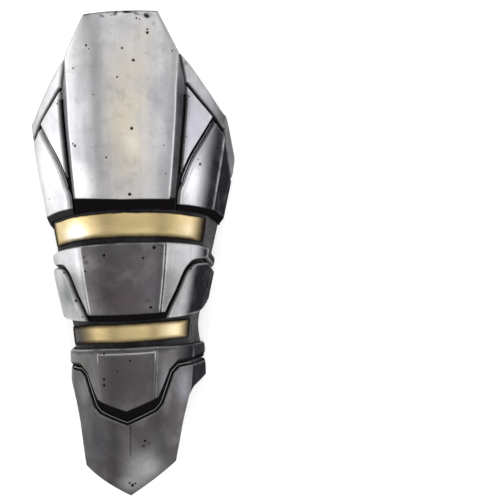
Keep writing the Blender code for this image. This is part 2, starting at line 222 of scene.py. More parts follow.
def distanceTo(loop, points, isOpen=False, batch=3000):
    along = np.roll(loop, -1, axis=0) - loop
    if isOpen:
        along = along[:-1]
        loop = loop[:-1]
    square = np.maximum((along * along).sum(axis=1), merge**2)
    found = []
    for first in range(0, len(points), batch):
        offset = points[first:first + batch, None] - loop
        t = np.clip((offset * along).sum(axis=2) / square, 0, 1)
        found.append(np.linalg.norm(offset - t[..., None] * along, axis=2).min(axis=1))
    return np.concatenate(found) if found else np.zeros(0)


def inside(loop, points):
    start = loop
    end = np.roll(loop, -1, axis=0)
    x, y = points[:, :1], points[:, 1:]
    spans = (start[:, 1] > y) != (end[:, 1] > y)
    rise = np.where(start[:, 1] == end[:, 1], 1, end[:, 1] - start[:, 1])
    crossing = start[:, 0] + (y - start[:, 1]) * (end[:, 0] - start[:, 0]) / rise
    return (spans & (x < crossing)).sum(axis=1) % 2 == 1


def inset(loop, distance):  # moves a loop inwards, dropping what a sharp corner has overrun
    distance = np.broadcast_to(distance, len(loop))
    before = loop - np.roll(loop, 1, axis=0)
    after = np.roll(loop, -1, axis=0) - loop
    normals = []
    for edge in (before, after):
        edge = edge / np.linalg.norm(edge, axis=1)[:, None]
        normals.append(np.column_stack([-edge[:, 1], edge[:, 0]]))
    facing = np.maximum((normals[0] * normals[1]).sum(axis=1), -0.8)
    moved = loop + (normals[0] + normals[1]) / (1 + facing)[:, None] * distance[:, None]
    return moved[distanceTo(loop, moved) > np.abs(distance) - 2 * merge]


def lifted(loop):  # keeps a plate's loop off the floor
    top, wall = girths(loop[:, 1])
    reach = top + wall - gauntlet["floorClearance"]
    return np.column_stack([np.clip(loop[:, 0], -reach, reach), loop[:, 1]])


def creaseLines(spacing):
    y = np.arange(sections[0][0] * length, sections[-1][0] * length, spacing)
    top, _ = girths(y)
    return [np.column_stack([side * top, y]) for side in (-1, 1)]


def gridPoints(outline, spacing):
    low = np.floor(outline.min(axis=0) / spacing)
    high = np.ceil(outline.max(axis=0) / spacing)
    columns, rows = np.meshgrid(np.arange(low[0], high[0] + 1), np.arange(low[1], high[1] + 1))
    columns = columns + 0.5 * (rows % 2)
    points = np.column_stack([columns.ravel(), rows.ravel()]) * spacing
    return points[inside(outline, points)]


def clearOf(lines, points, gap):  # the points that lie further than the gap from every line
    for line, isOpen in lines:
        points = points[distanceTo(line, points, isOpen) > gap]
    return points


# Fine triangles that follow every loop and crease
def triangulate(outline, loops, extra, spacing=fineness["plates"]):
    lines = [(loop, False) for loop in [outline] + loops]
    lines += [(line, True) for line in creaseLines(spacing)]
    points = []
    edges = []
    for line, isOpen in lines:
        first = len(points)
        points.extend(line)
        edges.extend((first + i, first + (i + 1) % len(line)) for i in range(len(line) - isOpen))
    extra = clearOf(lines, extra[inside(outline, extra)], spacing * 0.12)
    points.extend(extra)
    fill = clearOf(lines, gridPoints(outline, spacing), spacing * 0.45)
    for first in range(0, len(extra), 500):
        gap = np.linalg.norm(fill[:, None] - extra[None, first:first + 500], axis=2).min(axis=1)
        fill = fill[gap >= spacing * 0.4]
    points.extend(fill)
    made = delaunay_2d_cdt([tuple(p) for p in points], edges, [], 1, merge, False)
    corners = np.array([tuple(v) for v in made[0]])
    triangles = np.array([tuple(f) for f in made[2]])
    triangles = triangles[inside(outline, corners[triangles].mean(axis=1))]
    used = np.unique(triangles)
    place = np.full(len(corners), -1)
    place[used] = np.arange(len(used))
    return corners[used], place[triangles]


def boundary(triangles):
    sides = [pair for a, b, c in triangles.tolist() for pair in ((a, b), (b, c), (c, a))]
    known = set(sides)
    return [pair for pair in sides if (pair[1], pair[0]) not in known]


def linked(name, data):
    made = bpy.data.objects.new(name, data)
    bpy.context.scene.collection.objects.link(made)
    return made


def solid(name, corners, triangles, lower, upper, metal, marks):  # closed piece between two heights
    points = np.vstack([wrap(corners, lower), wrap(corners, upper)])
    count = len(corners)
    faces = [tuple(t[::-1]) for t in triangles.tolist()]
    faces += [tuple(t) for t in (triangles + count).tolist()]
    for a, b in boundary(triangles):
        faces.append((a, b, b + count))
        faces.append((a, b + count, a + count))
    mesh = bpy.data.meshes.new(name)
    mesh.from_pydata(points.tolist(), [], faces)
    for mark, values in marks.items():
        both = np.concatenate([np.full(count, values[1]), values[0]]).astype(np.float32)
        mesh.attributes.new(mark, "FLOAT", "POINT").data.foreach_set("value", both)
    mesh.shade_smooth()
    mesh.set_sharp_from_angle(angle=math.radians(50))
    mesh.materials.append(metal)
    print(name, len(mesh.polygons))
    return linked(name, mesh)


# The photograph's camera, straight above. Its frame is 500 pixels wide and high.
view = {
    "place": (0.093, 0.006, 0.720),
    "turn": math.radians(-0.5),
    "lens": 62.39,
    "sensor": 36.0,
    "pixels": 500,
}

# Casting pits charted on the photograph. Columns: pixel across, pixel down, radius, depth (mm)
pits = (
    (86.0, 45.0, 1.1, 0.9), (88.6, 48.6, 0.7, 0.4), (147.6, 32.4, 1.2, 1.0), (147.6, 29.0, 0.8, 0.5),
    (133.2, 60.0, 1.2, 1.0), (172.3, 50.7, 0.8, 0.7), (73.1, 68.2, 0.7, 0.5), (93.0, 94.4, 0.7, 0.4),
    (131.6, 128.3, 1.3, 1.1), (74.8, 145.8, 1.1, 0.9), (72.6, 143.3, 0.7, 0.6), (106.0, 157.4, 0.9, 0.6),
    (129.6, 193.7, 1.4, 1.1), (122.0, 48.0, 1.0, 0.3), (117.0, 77.0, 0.9, 0.2), (166.0, 173.0, 0.7, 0.5),
    (187.7, 96.5, 0.9, 0.7), (200.2, 164.2, 1.3, 1.1), (198.6, 159.5, 0.6, 0.4), (185.0, 137.0, 0.7, 0.5),
    (57.2, 103.7, 0.8, 0.6), (49.2, 199.3, 0.9, 0.8), (103.7, 255.6, 1.5, 1.0), (143.0, 257.6, 1.0, 0.6),
    (154.4, 247.6, 1.6, 1.1), (85.3, 271.0, 0.9, 0.6), (151.0, 307.5, 1.3, 0.7), (77.4, 300.4, 1.4, 0.9),
    (188.2, 268.0, 0.9, 0.6), (66.9, 271.7, 1.0, 0.6), (104.2, 379.5, 1.2, 0.9), (104.2, 385.5, 1.2, 0.9),
    (105.0, 354.0, 1.2, 0.6), (101.0, 354.5, 0.8, 0.5), (117.5, 371.5, 0.8, 0.3), (130.0, 360.7, 0.9, 0.3),
    (145.3, 441.5, 1.2, 0.8), (143.4, 446.8, 1.0, 0.6), (148.5, 443.5, 0.7, 0.4), (132.5, 486.0, 1.6, 0.5),
    (129.5, 483.5, 1.0, 0.4), (135.5, 484.0, 0.9, 0.4), (84.0, 257.0, 0.7, 0.4), (83.0, 317.0, 0.8, 0.5),
    (147.6, 16.0, 1.7, 0.3), (102.0, 14.5, 1.6, 0.3), (136.5, 18.0, 0.8, 0.3), (139.5, 19.0, 0.6, 0.3),
    (184.8, 63.0, 0.7, 0.4), (61.5, 212.0, 0.6, 0.4), (164.0, 145.0, 0.6, 0.3), (100.0, 205.0, 0.6, 0.3),
)

# How a place on the skin is looked for: steps round the section, the heights tried above the
# shell, the height that a pit starts from and how far it may be from the skin
pitSearch = {"steps": 900, "highest": 0.012, "rise": 0.0005, "start": 0.005, "reach": 0.006}

# The scribed line down the hand plate, from pixel to pixel, and its cut in metres
handLine = ((131.0, 423.0), (130.3, 456.0))
handCut = {"width": 0.0004, "depth": 0.0003, "dark": 0.75}


# The point that a pixel of the photograph shows, or where it misses, the one at crown height
def placeUnder(x, y, tree):
    scale = view["sensor"] / view["lens"] / view["pixels"]
    across = (x - view["pixels"] / 2) * scale
    up = (view["pixels"] / 2 - y) * scale
    cosine, sine = math.cos(view["turn"]), math.sin(view["turn"])
    direction = Vector((across * cosine - up * sine, across * sine + up * cosine, -1))
    start = Vector(view["place"])
    hit = tree.ray_cast(start, direction.normalized())[0]
    return hit or start + direction * (start.z - gauntlet["crownHeight"])


def flatPlace(point):  # the flat place below a point on or above the shell
    y = point.y - gauntlet["skew"] * point.x + gauntlet["middle"] * length
    top, wall = girths(np.array([y]))
    s = np.linspace(-top[0] - wall[0], top[0] + wall[0], pitSearch["steps"])
    row = np.column_stack([s, np.full_like(s, y)])
    found = []
    for height in np.arange(0, pitSearch["highest"], pitSearch["rise"]):
        gap = np.linalg.norm(wrap(row, height) - np.array(point), axis=1)
        found.append((gap.min(), s[gap.argmin()]))
    return min(found)[1], y


def solidsTree():  # the frame's solids, to find what a pixel of the photograph shows
    corners = []
    faces = []
    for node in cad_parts.values():
        first = len(corners)
        corners.extend(v.co.copy() for v in node.data.vertices)
        faces.extend(tuple(first + i for i in p.vertices) for p in node.data.polygons)
    return BVHTree.FromPolygons(corners, faces)


frameTree = solidsTree()
pixelSize = 0.00074  # metres that a pixel spans on the plates

# The pits as rows of distance round, distance along, radius and depth, in metres
pitRows = np.array([(*flatPlace(placeUnder(x, y, frameTree)), radius / 1000, depth / 1000)
                    for x, y, radius, depth in pits])
print("pits placed:", len(pitRows))


def pitRings(outline):  # extra points round each pit, so that its dent has a shape
    rings = []
    for s, y, radius, _ in pitRows[inside(outline, pitRows[:, :2])]:
        rings.append([(s, y)])
        for share, count in ((0.35, 6), (0.65, 9), (0.95, 12), (1.3, 14), (1.7, 14)):
            turn = np.arange(count) / count * 2 * math.pi + share * 5
            ring = np.column_stack([np.cos(turn), np.sin(turn)]) * radius * share
            rings.append(ring + (s, y))
    return rings


# The plates. Heights stand above the shell, in metres: foot is the straight wall of the edge,
# bevel the width of a rounded edge, ridge the rounding where a slope meets a face. The dark
# colours are told as shares: smoke is a darker colour all over (at the top and at the foot of
# smokeSpan). The rest is painted shade: shade towards the right side (from and to, across), wall
# beyond the right crease, leftShade towards the left one (over leftSpan), slopes and fieldSlopes
# on the sloping edges (left, right), roll on the roll below a top edge. worn is how bright field
# edges are painted, as rub and painted highlight, edge how bright the others are, topLine the
# painted highlight along the top edge, crease the painted highlight along the crease.
plain = {"foot": 0.0018, "bevel": 0.0012, "ridge": 0.0006, "rise": 0.0020, "smoke": (0.0, 0.0),
         "smokeSpan": (0.0, -0.045), "fieldSmoke": 0.0, "shade": (1.0, 1.1), "wall": 0.85, "leftShade": 0.4,
         "slopes": (0.0, 0.0), "fieldSlopes": (0.0, 0.9), "edge": 0.35, "worn": 0.5, "crease": 0.5,
         "leftSpan": (0.86, 1.08), "topLine": 0.0, "roll": 0.0}
panelPiece = dict(plain, height=0.0085, foot=0.0022, ridge=0.0007, hemBelow=(0.1310, 0.1235),
                  slopes=(0.62, 0.90), crease=0.0)
rimPiece = dict(plain, height=0.0045, bevel=0.0013, shade=(0.58, 1.12), crease=0.2, wall=0.78)
leafPiece = dict(plain, height=0.0050, bevel=0.0013)
flankPiece = dict(plain, height=0.0050, ridge=0.0007, hem=0.0052, shade=(0.70, 0.94), wall=1.0)
midPiece = dict(plain, height=0.0045, faceHem=-0.1110, fieldSmoke=0.97, smoke=(0.02, 0.55),
                smokeSpan=(0.004, -0.050), shade=(0.78, 0.98), fieldSlopes=(0.10, 0.92), edge=0.25,
                leftShade=0.6, wall=0.98, topLine=0.6)
padPiece = dict(plain, height=0.0056, bevel=0.0026, smoke=(0.20, 0.20), shade=(0.70, 0.87), wall=0.985,
                edge=0.4, crease=0.0)
collarPiece = dict(plain, height=0.0042, fieldSmoke=1.0, smoke=(0.93, 0.93), shade=(0.56, 0.98), wall=0.95,
                   edge=0.0, fieldSlopes=(0.0, 0.85), crease=0.2, topLine=0.5, roll=0.45)
handPiece = dict(plain, height=0.0032, foot=0.0016, smoke=(0.98, 0.98), shade=(0.99, 1.04), wall=0.97,
                 leftShade=0.5, leftSpan=(0.1, 1.0), edge=0.2, crease=0.0)

# Grooves in metres: groove and wrist are their widths, double is the inset beside a leaf's lip,
# which tapers off over taper, and free the inset at edges with nothing beside them.
seams = {"groove": 0.0021, "wrist": 0.0038, "double": 0.0030, "taper": 0.009, "free": 0.0003,
         "shellInset": 0.0022}

panelFace = ((0.000, 0.4985), (0.300, 0.4985), (0.481, 0.4200), (0.458, 0.3500), (0.455, 0.2700),
             (0.450, 0.1210), (0.000, 0.1230))
panelFaceLeft = panelFace[:-2] + ((0.450, 0.1300), (0.000, 0.1230))
midFieldFace = (((0.000, 0.0600), (0.437, 0.0600), (0.418, -0.1110), (0.000, -0.1110)),
                ((0.000, 0.0600), (0.476, 0.0600), (0.442, -0.1110), (0.000, -0.1110)))  # right, left
midFieldFoot = (((0.000, 0.0700), (0.478, 0.0700), (0.460, -0.1300), (0.000, -0.1300)),
                ((0.000, 0.0700), (0.545, 0.0700), (0.486, -0.1300), (0.000, -0.1300)))
collarFieldFace = ((0.000, -0.1920), (0.390, -0.1922), (0.360, -0.3000), (0.000, -0.3195))
collarFieldFoot = ((0.000, -0.1880), (0.425, -0.1882), (0.400, -0.3140), (0.000, -0.3390))
collarFaceHem = ((0.900, -0.2225), (0.765, -0.2210), (0.640, -0.2370), (0.480, -0.2960),
                 (0.360, -0.3000), (0.000, -0.3195))


def silhouette(spacing=fineness["plates"]):  # the whole gauntlet's outline
    shared = [(0, elbowTop[0][1])] + list(elbowTop) + curve(elbowSlope) + list(elbowCorner) + curve(flange)
    right = shared + list(handSideRight) + [(0, handTip)]
    return closed(whole(right, shared + list(handSideLeft) + [(0, handTip)]), spacing)


outerEdge = silhouette()
rimJoint = flat([elbowTop[1]] + list(panelSide[:2]))  # between panel and rim, where no groove runs


def toJoint(points):  # the distance to the joint between panel and rim on either side
    return distanceTo(rimJoint, np.abs(points * (1, 0)) + points * (0, 1), isOpen=True)


# A loop half a groove in from its seams, hardly in at free edges, and further in along a wide
# groove that has a lip in it
def seamed(points, gap=seams["groove"], wide=None, close=0.0004):
    loop = closed(points)
    free = distanceTo(outerEdge, loop) < close + 0.0001
    distance = np.where(free | (toJoint(loop) < close), seams["free"], gap / 2)
    if wide is not None:
        low = wide[:, 1].min()
        share = smoothStep(loop[:, 1], low, low + seams["taper"])
        share = np.where(distanceTo(wide, loop, isOpen=True) < close, share, 0)
        distance = distance + (seams["double"] - distance) * share
    return inset(loop, distance)


def sided(name, points, right):
    return ("right" if right else "left") + name, points if right else mirrored(points)


def smoothStep(value, start, end):
    t = np.clip((value - start) / (end - start), 0, 1)
    return t * t * (3 - 2 * t)


def slope(corners, outer, inner, ridge):  # 0 at the outer loop to 1 on the inner one, ridge rounded
    fromOuter = distanceTo(outer, corners)
    past = distanceTo(inner, corners) * np.where(inside(inner, corners), -1, 1)
    soft = (past + np.sqrt(past**2 + ridge**2)) / 2
    width = np.maximum(fromOuter + past, ridge)
    return np.where(inside(outer, corners) | (fromOuter < merge), np.clip(1 - soft / width, 0, 1), 0), past


def edgeRings(loop, distances):
    return [inset(loop, distance) for distance in distances]


def linePoints(line):  # extra points along a scribed line
    if line is None:
        return np.zeros((0, 2))
    along = np.linspace(0, 1, 45)[:, None]
    middle = line[0] + (line[1] - line[0]) * along
    return np.vstack([middle + (offset, 0) for offset in (-0.0011, -0.0005, 0, 0.0005, 0.0011)])


def smokeAndPaintedShade(corners, piece):  # the smoke colour, and the painted shade towards the sides, that lie on a whole plate
    along = corners[:, 1] / length
    first, last = piece["smoke"]
    start, end = piece["smokeSpan"]
    smoke = first + (last - first) * smoothStep(-along, -start, -end)
    share = np.abs(corners[:, 0]) / girths(corners[:, 1])[0]
    # painted shade towards the right side, darkest on the wall beyond the crease, and towards the left side
    right = smoothStep(share, *piece["shade"]) * (1 - (1 - piece["wall"]) * smoothStep(share, 1.0, 1.03))
    left = smoothStep(share, *piece["leftSpan"]) * piece["leftShade"]
    return smoke, np.where(corners[:, 0] > 0, right, left)


def sideways(corners, pair):
    return np.where(corners[:, 0] > 0, pair[1], pair[0])


# What wear, dirt, painted shade and painted highlights leave on a plate. Widths and distances in metres:
wearDirtAndPaintedLight = {
    "rub": 0.0006,  # width of the rubbed and painted-highlight edges and ridges
    "line": 0.0005,  # and of thin painted lines, highlight and shade
    "inside": 0.0002,  # how far inside a ridge its rub and painted highlight lie
    "crease": 0.0009,
    "seamDirtAndShade": 0.0006,  # how far dirt and painted shade reach in from seams and from free edges
    "freeDirtAndShade": 0.0010,
    "slopeRamp": 0.0006,
    "hemRamp": 0.0007,
    "hemRise": 0.0010,  # how far a dark hem, black wash and painted shade, reaches above its limit
    "fieldHem": 0.0030,
    "fieldKeep": 0.0015,  # how far from a field other rubs and painted highlights are kept
    "topLine": 0.0020,  # the painted highlight line, below the top edge
    # how far below the top edge the painted shade on the roll ends
    "roll": (-0.0052, -0.0046),
    "skin": 0.003,  # width over which the uneven skin sets in
}
# How dark the seam wash and painted shade are at free edges and at the joint, and how dark the painted
# shade is on the panel's top edge (rim) and upper ridge
darkness = {"free": 0.95, "joint": 0.15, "rim": 0.85, "ridge": 0.7}
topShaded = 0.3  # how much of the top line's painted highlight is kept where the painted shade is dark

# Shares of the length between which the panel's painted shade changes towards the elbow: on its slopes,
# along its upper ridge and on its top edge (rim)
panelTop = {"slopes": (0.33, 0.43), "ridge": (0.34, 0.42), "rim": (0.4955, 0.4990)}

# Extra rings of points, and what the marks say on a plate's hidden underside
bevelRings = (0.15, 0.4, 0.7, 1.0)  # shares of the bevel
ridgeRings = (0.0005, 0.0011, -0.0005)  # inwards from a ridge, in metres
underside = {"smoke": 1.0, "shade": 1.0, "wash": 1.0, "worn": 0.0, "hem": 0.0, "skin": 0.0}


def peak(offset, width):  # 1 where the offset is 0, falling off over the width
    return np.exp(-(offset / width)**2)


# adds painted shade to a plate's skin
def darken(skin, *shares):
    for share in shares:
        skin["shade"] = np.maximum(skin["shade"], share)


def startSkin(corners, outline, piece):  # a plate's heights and marks, as its outline makes them
    fromEdge = distanceTo(outline, corners)
    free = distanceTo(outerEdge, corners) < fromEdge + 0.0006
    joint = toJoint(corners) < fromEdge + 0.0008
    lip = np.sqrt(1 - (1 - np.clip(fromEdge / piece["bevel"], 0, 1))**2)  # a quarter round
    # black wash and painted shade along seams, at free edges and, weaker, at the joint
    freeWashAndShade = darkness["free"] * np.exp(-fromEdge / wearDirtAndPaintedLight["freeDirtAndShade"])
    wash = np.where(free, freeWashAndShade, np.exp(-fromEdge / wearDirtAndPaintedLight["seamDirtAndShade"]))
    smoke, shade = smokeAndPaintedShade(corners, piece)
    return {
        "lip": lip,
        "climbed": lip,
        "smoke": smoke,
        "shade": shade,
        "wash": np.where(joint & ~free, darkness["joint"] * wash, wash),
        # edges painted bright, partly as rub and partly as painted highlight
        "worn": peak(fromEdge - piece["bevel"] * 0.5, wearDirtAndPaintedLight["rub"]) * piece["edge"],
        "hem": np.zeros(len(corners)),
        "skin": np.clip(fromEdge / wearDirtAndPaintedLight["skin"], 0, 1),
    }


def markFace(skin, corners, piece, climbed, past, hemDark):  # a face with its ridge and slopes: painted shade on the slopes, top edge and upper ridge, painted highlight along the ridge, and the dark hem
    skin["climbed"] = np.minimum(climbed, 1) * (0.25 + 0.75 * skin["lip"])
    ramp = wearDirtAndPaintedLight["hemRamp"]
    # the dark hem on a bevel facing down: black wash and painted shade
    skin["hem"] = np.clip((past + ramp) / ramp, 0, 1) * hemDark(corners - (0, wearDirtAndPaintedLight["hemRise"]))
    along = corners[:, 1] / length
    # painted shade on the slopes by their side, on the top edge and along the upper ridge
    upper = 1 - sideways(corners, (0.15, 0.45)) * smoothStep(along, *panelTop["slopes"])
    slopes = np.clip(past / wearDirtAndPaintedLight["slopeRamp"], 0, 1) * sideways(corners, piece["slopes"]) * upper
    rim = smoothStep(along, *panelTop["rim"])
    outlined = peak(past + 0.0001, wearDirtAndPaintedLight["line"]) * smoothStep(along, *panelTop["ridge"])
    darken(skin, slopes, darkness["rim"] * rim, darkness["ridge"] * outlined)
    worn = peak(past + wearDirtAndPaintedLight["inside"], wearDirtAndPaintedLight["rub"]) * piece["edge"]
    worn = np.maximum(worn, skin["worn"] * 0.5) * (1 - hemDark(corners - (0, wearDirtAndPaintedLight["hemRise"] + 0.0002)))
    skin["worn"] = worn * (1 - outlined)


def markField(skin, corners, piece, raised, past, hemDark):  # a raised field on a face, with a painted highlight along its edge and painted shade on its slopes
    skin["height"] = skin["height"] + piece["rise"] * raised * skin["lip"]
    line = peak(past + wearDirtAndPaintedLight["inside"], wearDirtAndPaintedLight["line"]) * (raised > 0) * piece["worn"]
    line = line * (1 - hemDark(corners - (0, wearDirtAndPaintedLight["fieldHem"])))
    skin["worn"] = np.maximum(skin["worn"] * (past > wearDirtAndPaintedLight["fieldKeep"]), line)
    smoke = piece["fieldSmoke"] * np.clip(0.5 - past / wearDirtAndPaintedLight["slopeRamp"], 0, 1)
    skin["smoke"] = np.maximum(skin["smoke"], smoke)
    # painted shade on the field's slopes, by their side
    onSlope = np.clip(past / wearDirtAndPaintedLight["line"], 0, 1) * (raised > 0.02)
    darken(skin, onSlope * sideways(corners, piece["fieldSlopes"]))


def markTop(skin, corners, piece, top):  # a painted highlight line along the top edge, and painted shade on the roll below it
    under = np.interp(np.abs(corners[:, 0]), top[:, 0], top[:, 1]) - corners[:, 1]
    line = peak(under - wearDirtAndPaintedLight["topLine"], wearDirtAndPaintedLight["line"]) * piece["topLine"]
    skin["worn"] = np.maximum(skin["worn"], line * np.where(skin["shade"] < 0.5, 1.0, topShaded))
    darken(skin, piece["roll"] * smoothStep(-under, *wearDirtAndPaintedLight["roll"]))


def cutLine(skin, corners, start, end):  # a scribed line
    along = np.clip((corners[:, 1] - start[1]) / (end[1] - start[1]), 0, 1)[:, None]
    off = np.linalg.norm(corners - start - (end - start) * along, axis=1)
    cut = peak(off, handCut["width"])
    skin["height"] = skin["height"] - handCut["depth"] * cut
    skin["wash"] = np.maximum(skin["wash"], handCut["dark"] * cut)


def makePlate(name, piece, outline, metal, face=None, field=None, hemDark=None, top=None, scribed=None):
    faces = [] if face is None else [face]
    rings = edgeRings(outline, [piece["bevel"] * share for share in bevelRings])
    for ridge in faces + (field[1:] if field else []):
        rings += edgeRings(ridge, ridgeRings)
    extra = np.vstack(rings + pitRings(outline) + [linePoints(scribed)])
    corners, triangles = triangulate(outline, faces + (field or []), extra)
    skin = startSkin(corners, outline, piece)
    if face is not None:
        markFace(skin, corners, piece, *slope(corners, outline, face, piece["ridge"]), hemDark)
    skin["height"] = piece["foot"] + (piece["height"] - piece["foot"]) * skin["climbed"]
    if field:
        markField(skin, corners, piece, *slope(corners, *field, piece["ridge"]), hemDark)
    if top is not None:
        markTop(skin, corners, piece, top)
    if scribed is not None:
        cutLine(skin, corners, *scribed)
    # a painted highlight along the crease
    fromCrease = np.abs(corners[:, 0]) - girths(corners[:, 1])[0]
    onCrease = peak(fromCrease, wearDirtAndPaintedLight["crease"]) * piece["crease"]
    skin["worn"] = np.clip(np.maximum(skin["worn"], onCrease), 0, 1)
    marks = {key: (skin[key], value) for key, value in underside.items()}
    return solid(name, corners, triangles, gauntlet["seatGap"], skin["height"], metal, marks)


def hemFace(outline, hem, piece):
    face = inset(outline, piece["bevel"])
    line = flat(hem)
    hemY = np.interp(np.abs(face[:, 0]), line[:, 0], line[:, 1])
    return np.column_stack([face[:, 0], np.maximum(face[:, 1], hemY + piece["hem"])])


def below(limits, blend):  # 1 below a place along (left half, right half), fading to 0 above it
    def share(corners):
        return np.clip((sideways(corners, limits) * length - corners[:, 1]) / blend, 0, 1)
    return share


def makeCentrePanel(metal):
    side = list(elbowTop) + curve(panelSide + (panelCorner,))[:-1]
    outline = seamed(whole([(0, elbowTop[0][1])] + side + curve(panelFoot)))
    face = closed(whole(panelFace, panelFaceLeft))
    dark = below(panelPiece["hemBelow"], 0.001)
    return makePlate("centrePanel", panelPiece, outline, metal, face, hemDark=dark)


def makeRim(right, metal):
    seam = curve(rimSeamIn) + curve(rimSeamOut)
    edge = (curve(elbowSlope) + list(elbowCorner))[::-1]
    name, points = sided("Rim", [elbowTop[1], panelSide[0]] + seam + edge, right)
    return makePlate(name, rimPiece, lifted(seamed(points)), metal)


def makeUpperLeaf(right, metal):
    name, points = sided("Leaf", curve(rimSeamIn) + curve(leafSeam) + list(panelSide[:0:-1]), right)
    return makePlate(name, leafPiece, seamed(points), metal)


def makeFlank(right, metal):
    hem = curve(upperHem)
    seam = curve(leafSeam)[::-1]
    name, points = sided("Flank", seam + curve(rimSeamOut) + hem[::-1], right)
    leafEdge = flat(seam if right else mirrored(seam))
    outline = lifted(seamed(points, wide=leafEdge))
    foot = flat(hem)

    def hemDark(corners):
        limit = np.interp(np.abs(corners[:, 0]), foot[:, 0], foot[:, 1]) + flankPiece["hem"]
        return np.clip((limit - corners[:, 1]) / 0.0006, 0, 1) * (1.0 if right else 0.96)

    face = hemFace(outline, hem, flankPiece)
    return makePlate(name, flankPiece, outline, metal, face, hemDark=hemDark)


def makeMidPlate(metal):
    right = curve(midTop + (midWrapTop,)) + [midWrapFoot] + curve(padSeam) + [(0, midHem)]
    outline = lifted(seamed(whole(right)))
    face = inset(outline, midPiece["bevel"])
    face[:, 1] = np.maximum(face[:, 1], midPiece["faceHem"] * length)
    field = [closed(whole(*loop)) for loop in (midFieldFoot, midFieldFace)]
    dark = below((midPiece["faceHem"], midPiece["faceHem"]), 0.0008)
    return makePlate("midPlate", midPiece, outline, metal, face, field, dark, top=flat(curve(midTop)))


def makePad(right, metal):
    name, points = sided("Pad", [midWrapFoot] + curve(padSeam) + curve(padHem), right)
    return makePlate(name, padPiece, lifted(seamed(points)), metal)


def makeWristCollar(metal):
    top = curve(collarTop)
    outline = lifted(seamed(whole(top + list(wristSeam))))
    hem = [(back, collarFaceHem[0][1])] + list(collarFaceHem)
    face = closed(whole(top + hem))
    face = lifted(inset(face, collarPiece["bevel"] + seams["groove"] / 2))
    field = [closed(whole(loop)) for loop in (collarFieldFoot, collarFieldFace)]
    dark = below((-0.2115, -0.2115), 0.004)
    return makePlate("wristCollar", collarPiece, outline, metal, face, field, dark, top=flat(top))


def makeHandPlate(metal):
    start = list(wristSeam)[::-1] + curve(flange)
    right = start + list(handSideRight) + [(0, handTip)]
    left = start + list(handSideLeft) + [(0, handTip)]
    outline = lifted(seamed(whole(right, left), seams["wrist"]))
    line = [np.array(flatPlace(placeUnder(x, y, frameTree))) for x, y in handLine]
    return makePlate("handPlate", handPiece, outline, metal, scribed=line)


def makeShell(metal):
    outline = inset(silhouette(fineness["shell"]), seams["shellInset"])
    top, wall = girths(outline[:, 1])
    edge = np.abs(outline[:, 0]) > top + wall - 2 * seams["shellInset"]
    outline[edge, 0] = np.sign(outline[edge, 0]) * (top + wall)[edge]
    corners, triangles = triangulate(outline, [], np.zeros((0, 2)), fineness["shell"])
    return solid("armShell", corners, triangles, -gauntlet["shellWall"], 0.0, metal, {})


# Materials. Each metal's dictionary holds what a user would change. roughness is that of the
# dull patches, and the smooth ones have roughnessSpread less.
agedSilver = {
    # wash is the black of seam wash, dark hems and painted shade, smoke a darker colour, shade the painted
    # shade, bright the rub and painted highlight
    "light": (0.72, 0.71, 0.72), "dark": (0.50, 0.49, 0.51), "wash": (0.007, 0.006, 0.007),
    "smoke": (0.096, 0.088, 0.091), "shade": (0.020, 0.019, 0.024),
    "bright": (0.88, 0.88, 0.90), "roughness": 0.33, "roughnessSpread": 0.10,
    "cloudScale": 22, "grainScale": 420, "streakScale": 220, "grainBump": 0.00003, "specks": 0.18,
    "mottleScale": 105, "mottle": 0.22, "wipes": 0.3, "wipeBump": 0.5, "bump": 0.35,
    "tintsAndPaintedLight": (  # painted highlights, reflection streaks and shade among warm and bluish tarnish patches. Columns: pixel across, pixel down, reach across and down in pixels, colour, strength
        (126, 125, 34, 120, (0.70, 0.63, 0.51), 0.95),
        (124, 158, 22, 22, (0.52, 0.48, 0.42), 0.45),
        (96, 60, 9, 60, (0.36, 0.36, 0.37), 0.55),
        (98, 140, 8, 70, (0.44, 0.44, 0.45), 0.50),
        (136, 70, 22, 50, (0.66, 0.60, 0.50), 0.50),
        (76, 150, 26, 100, (0.66, 0.69, 0.76), 0.40),
        (155, 106, 10, 40, (0.40, 0.41, 0.44), 0.55),
        (162, 150, 16, 90, (0.60, 0.60, 0.64), 0.50),
        (138, 178, 40, 26, (0.52, 0.49, 0.46), 0.45),
        (195, 125, 30, 60, (0.55, 0.55, 0.66), 0.80),
        (191, 178, 18, 46, (0.92, 0.92, 0.98), 0.95),
        (48, 165, 26, 70, (0.92, 0.92, 0.94), 0.95),
        (84, 186, 22, 30, (0.94, 0.94, 0.95), 0.95),
        (132, 142, 14, 22, (0.82, 0.78, 0.66), 0.80),
        (144, 34, 14, 22, (0.74, 0.66, 0.50), 0.50),
        (84, 36, 16, 26, (0.46, 0.46, 0.47), 0.40),
        (112, 92, 14, 16, (0.56, 0.54, 0.50), 0.45),
        (157, 103, 7, 12, (0.34, 0.35, 0.38), 0.45),
        (128, 186, 26, 16, (0.46, 0.44, 0.41), 0.55),
        (162, 176, 14, 40, (0.38, 0.38, 0.40), 0.70),
        (168, 110, 8, 60, (0.38, 0.38, 0.40), 0.60),
        (86, 104, 10, 34, (0.82, 0.83, 0.86), 0.60),
    ),
    "smears": (  # dark patina that is rubbed off the edges: place, reach across and down, strength
        (102, 14, 8, 4.5, 1.3), (118, 11.5, 24, 2.8, 1.1), (147, 15.5, 8, 4.5, 1.0), (138, 13, 8, 3.0, 0.8),
        (112, 14, 8, 3.0, 0.8), (86, 14, 8, 2.5, 0.6), (154, 20, 5, 8, 0.4), (186, 63, 4, 5, 0.6),
    ),
}
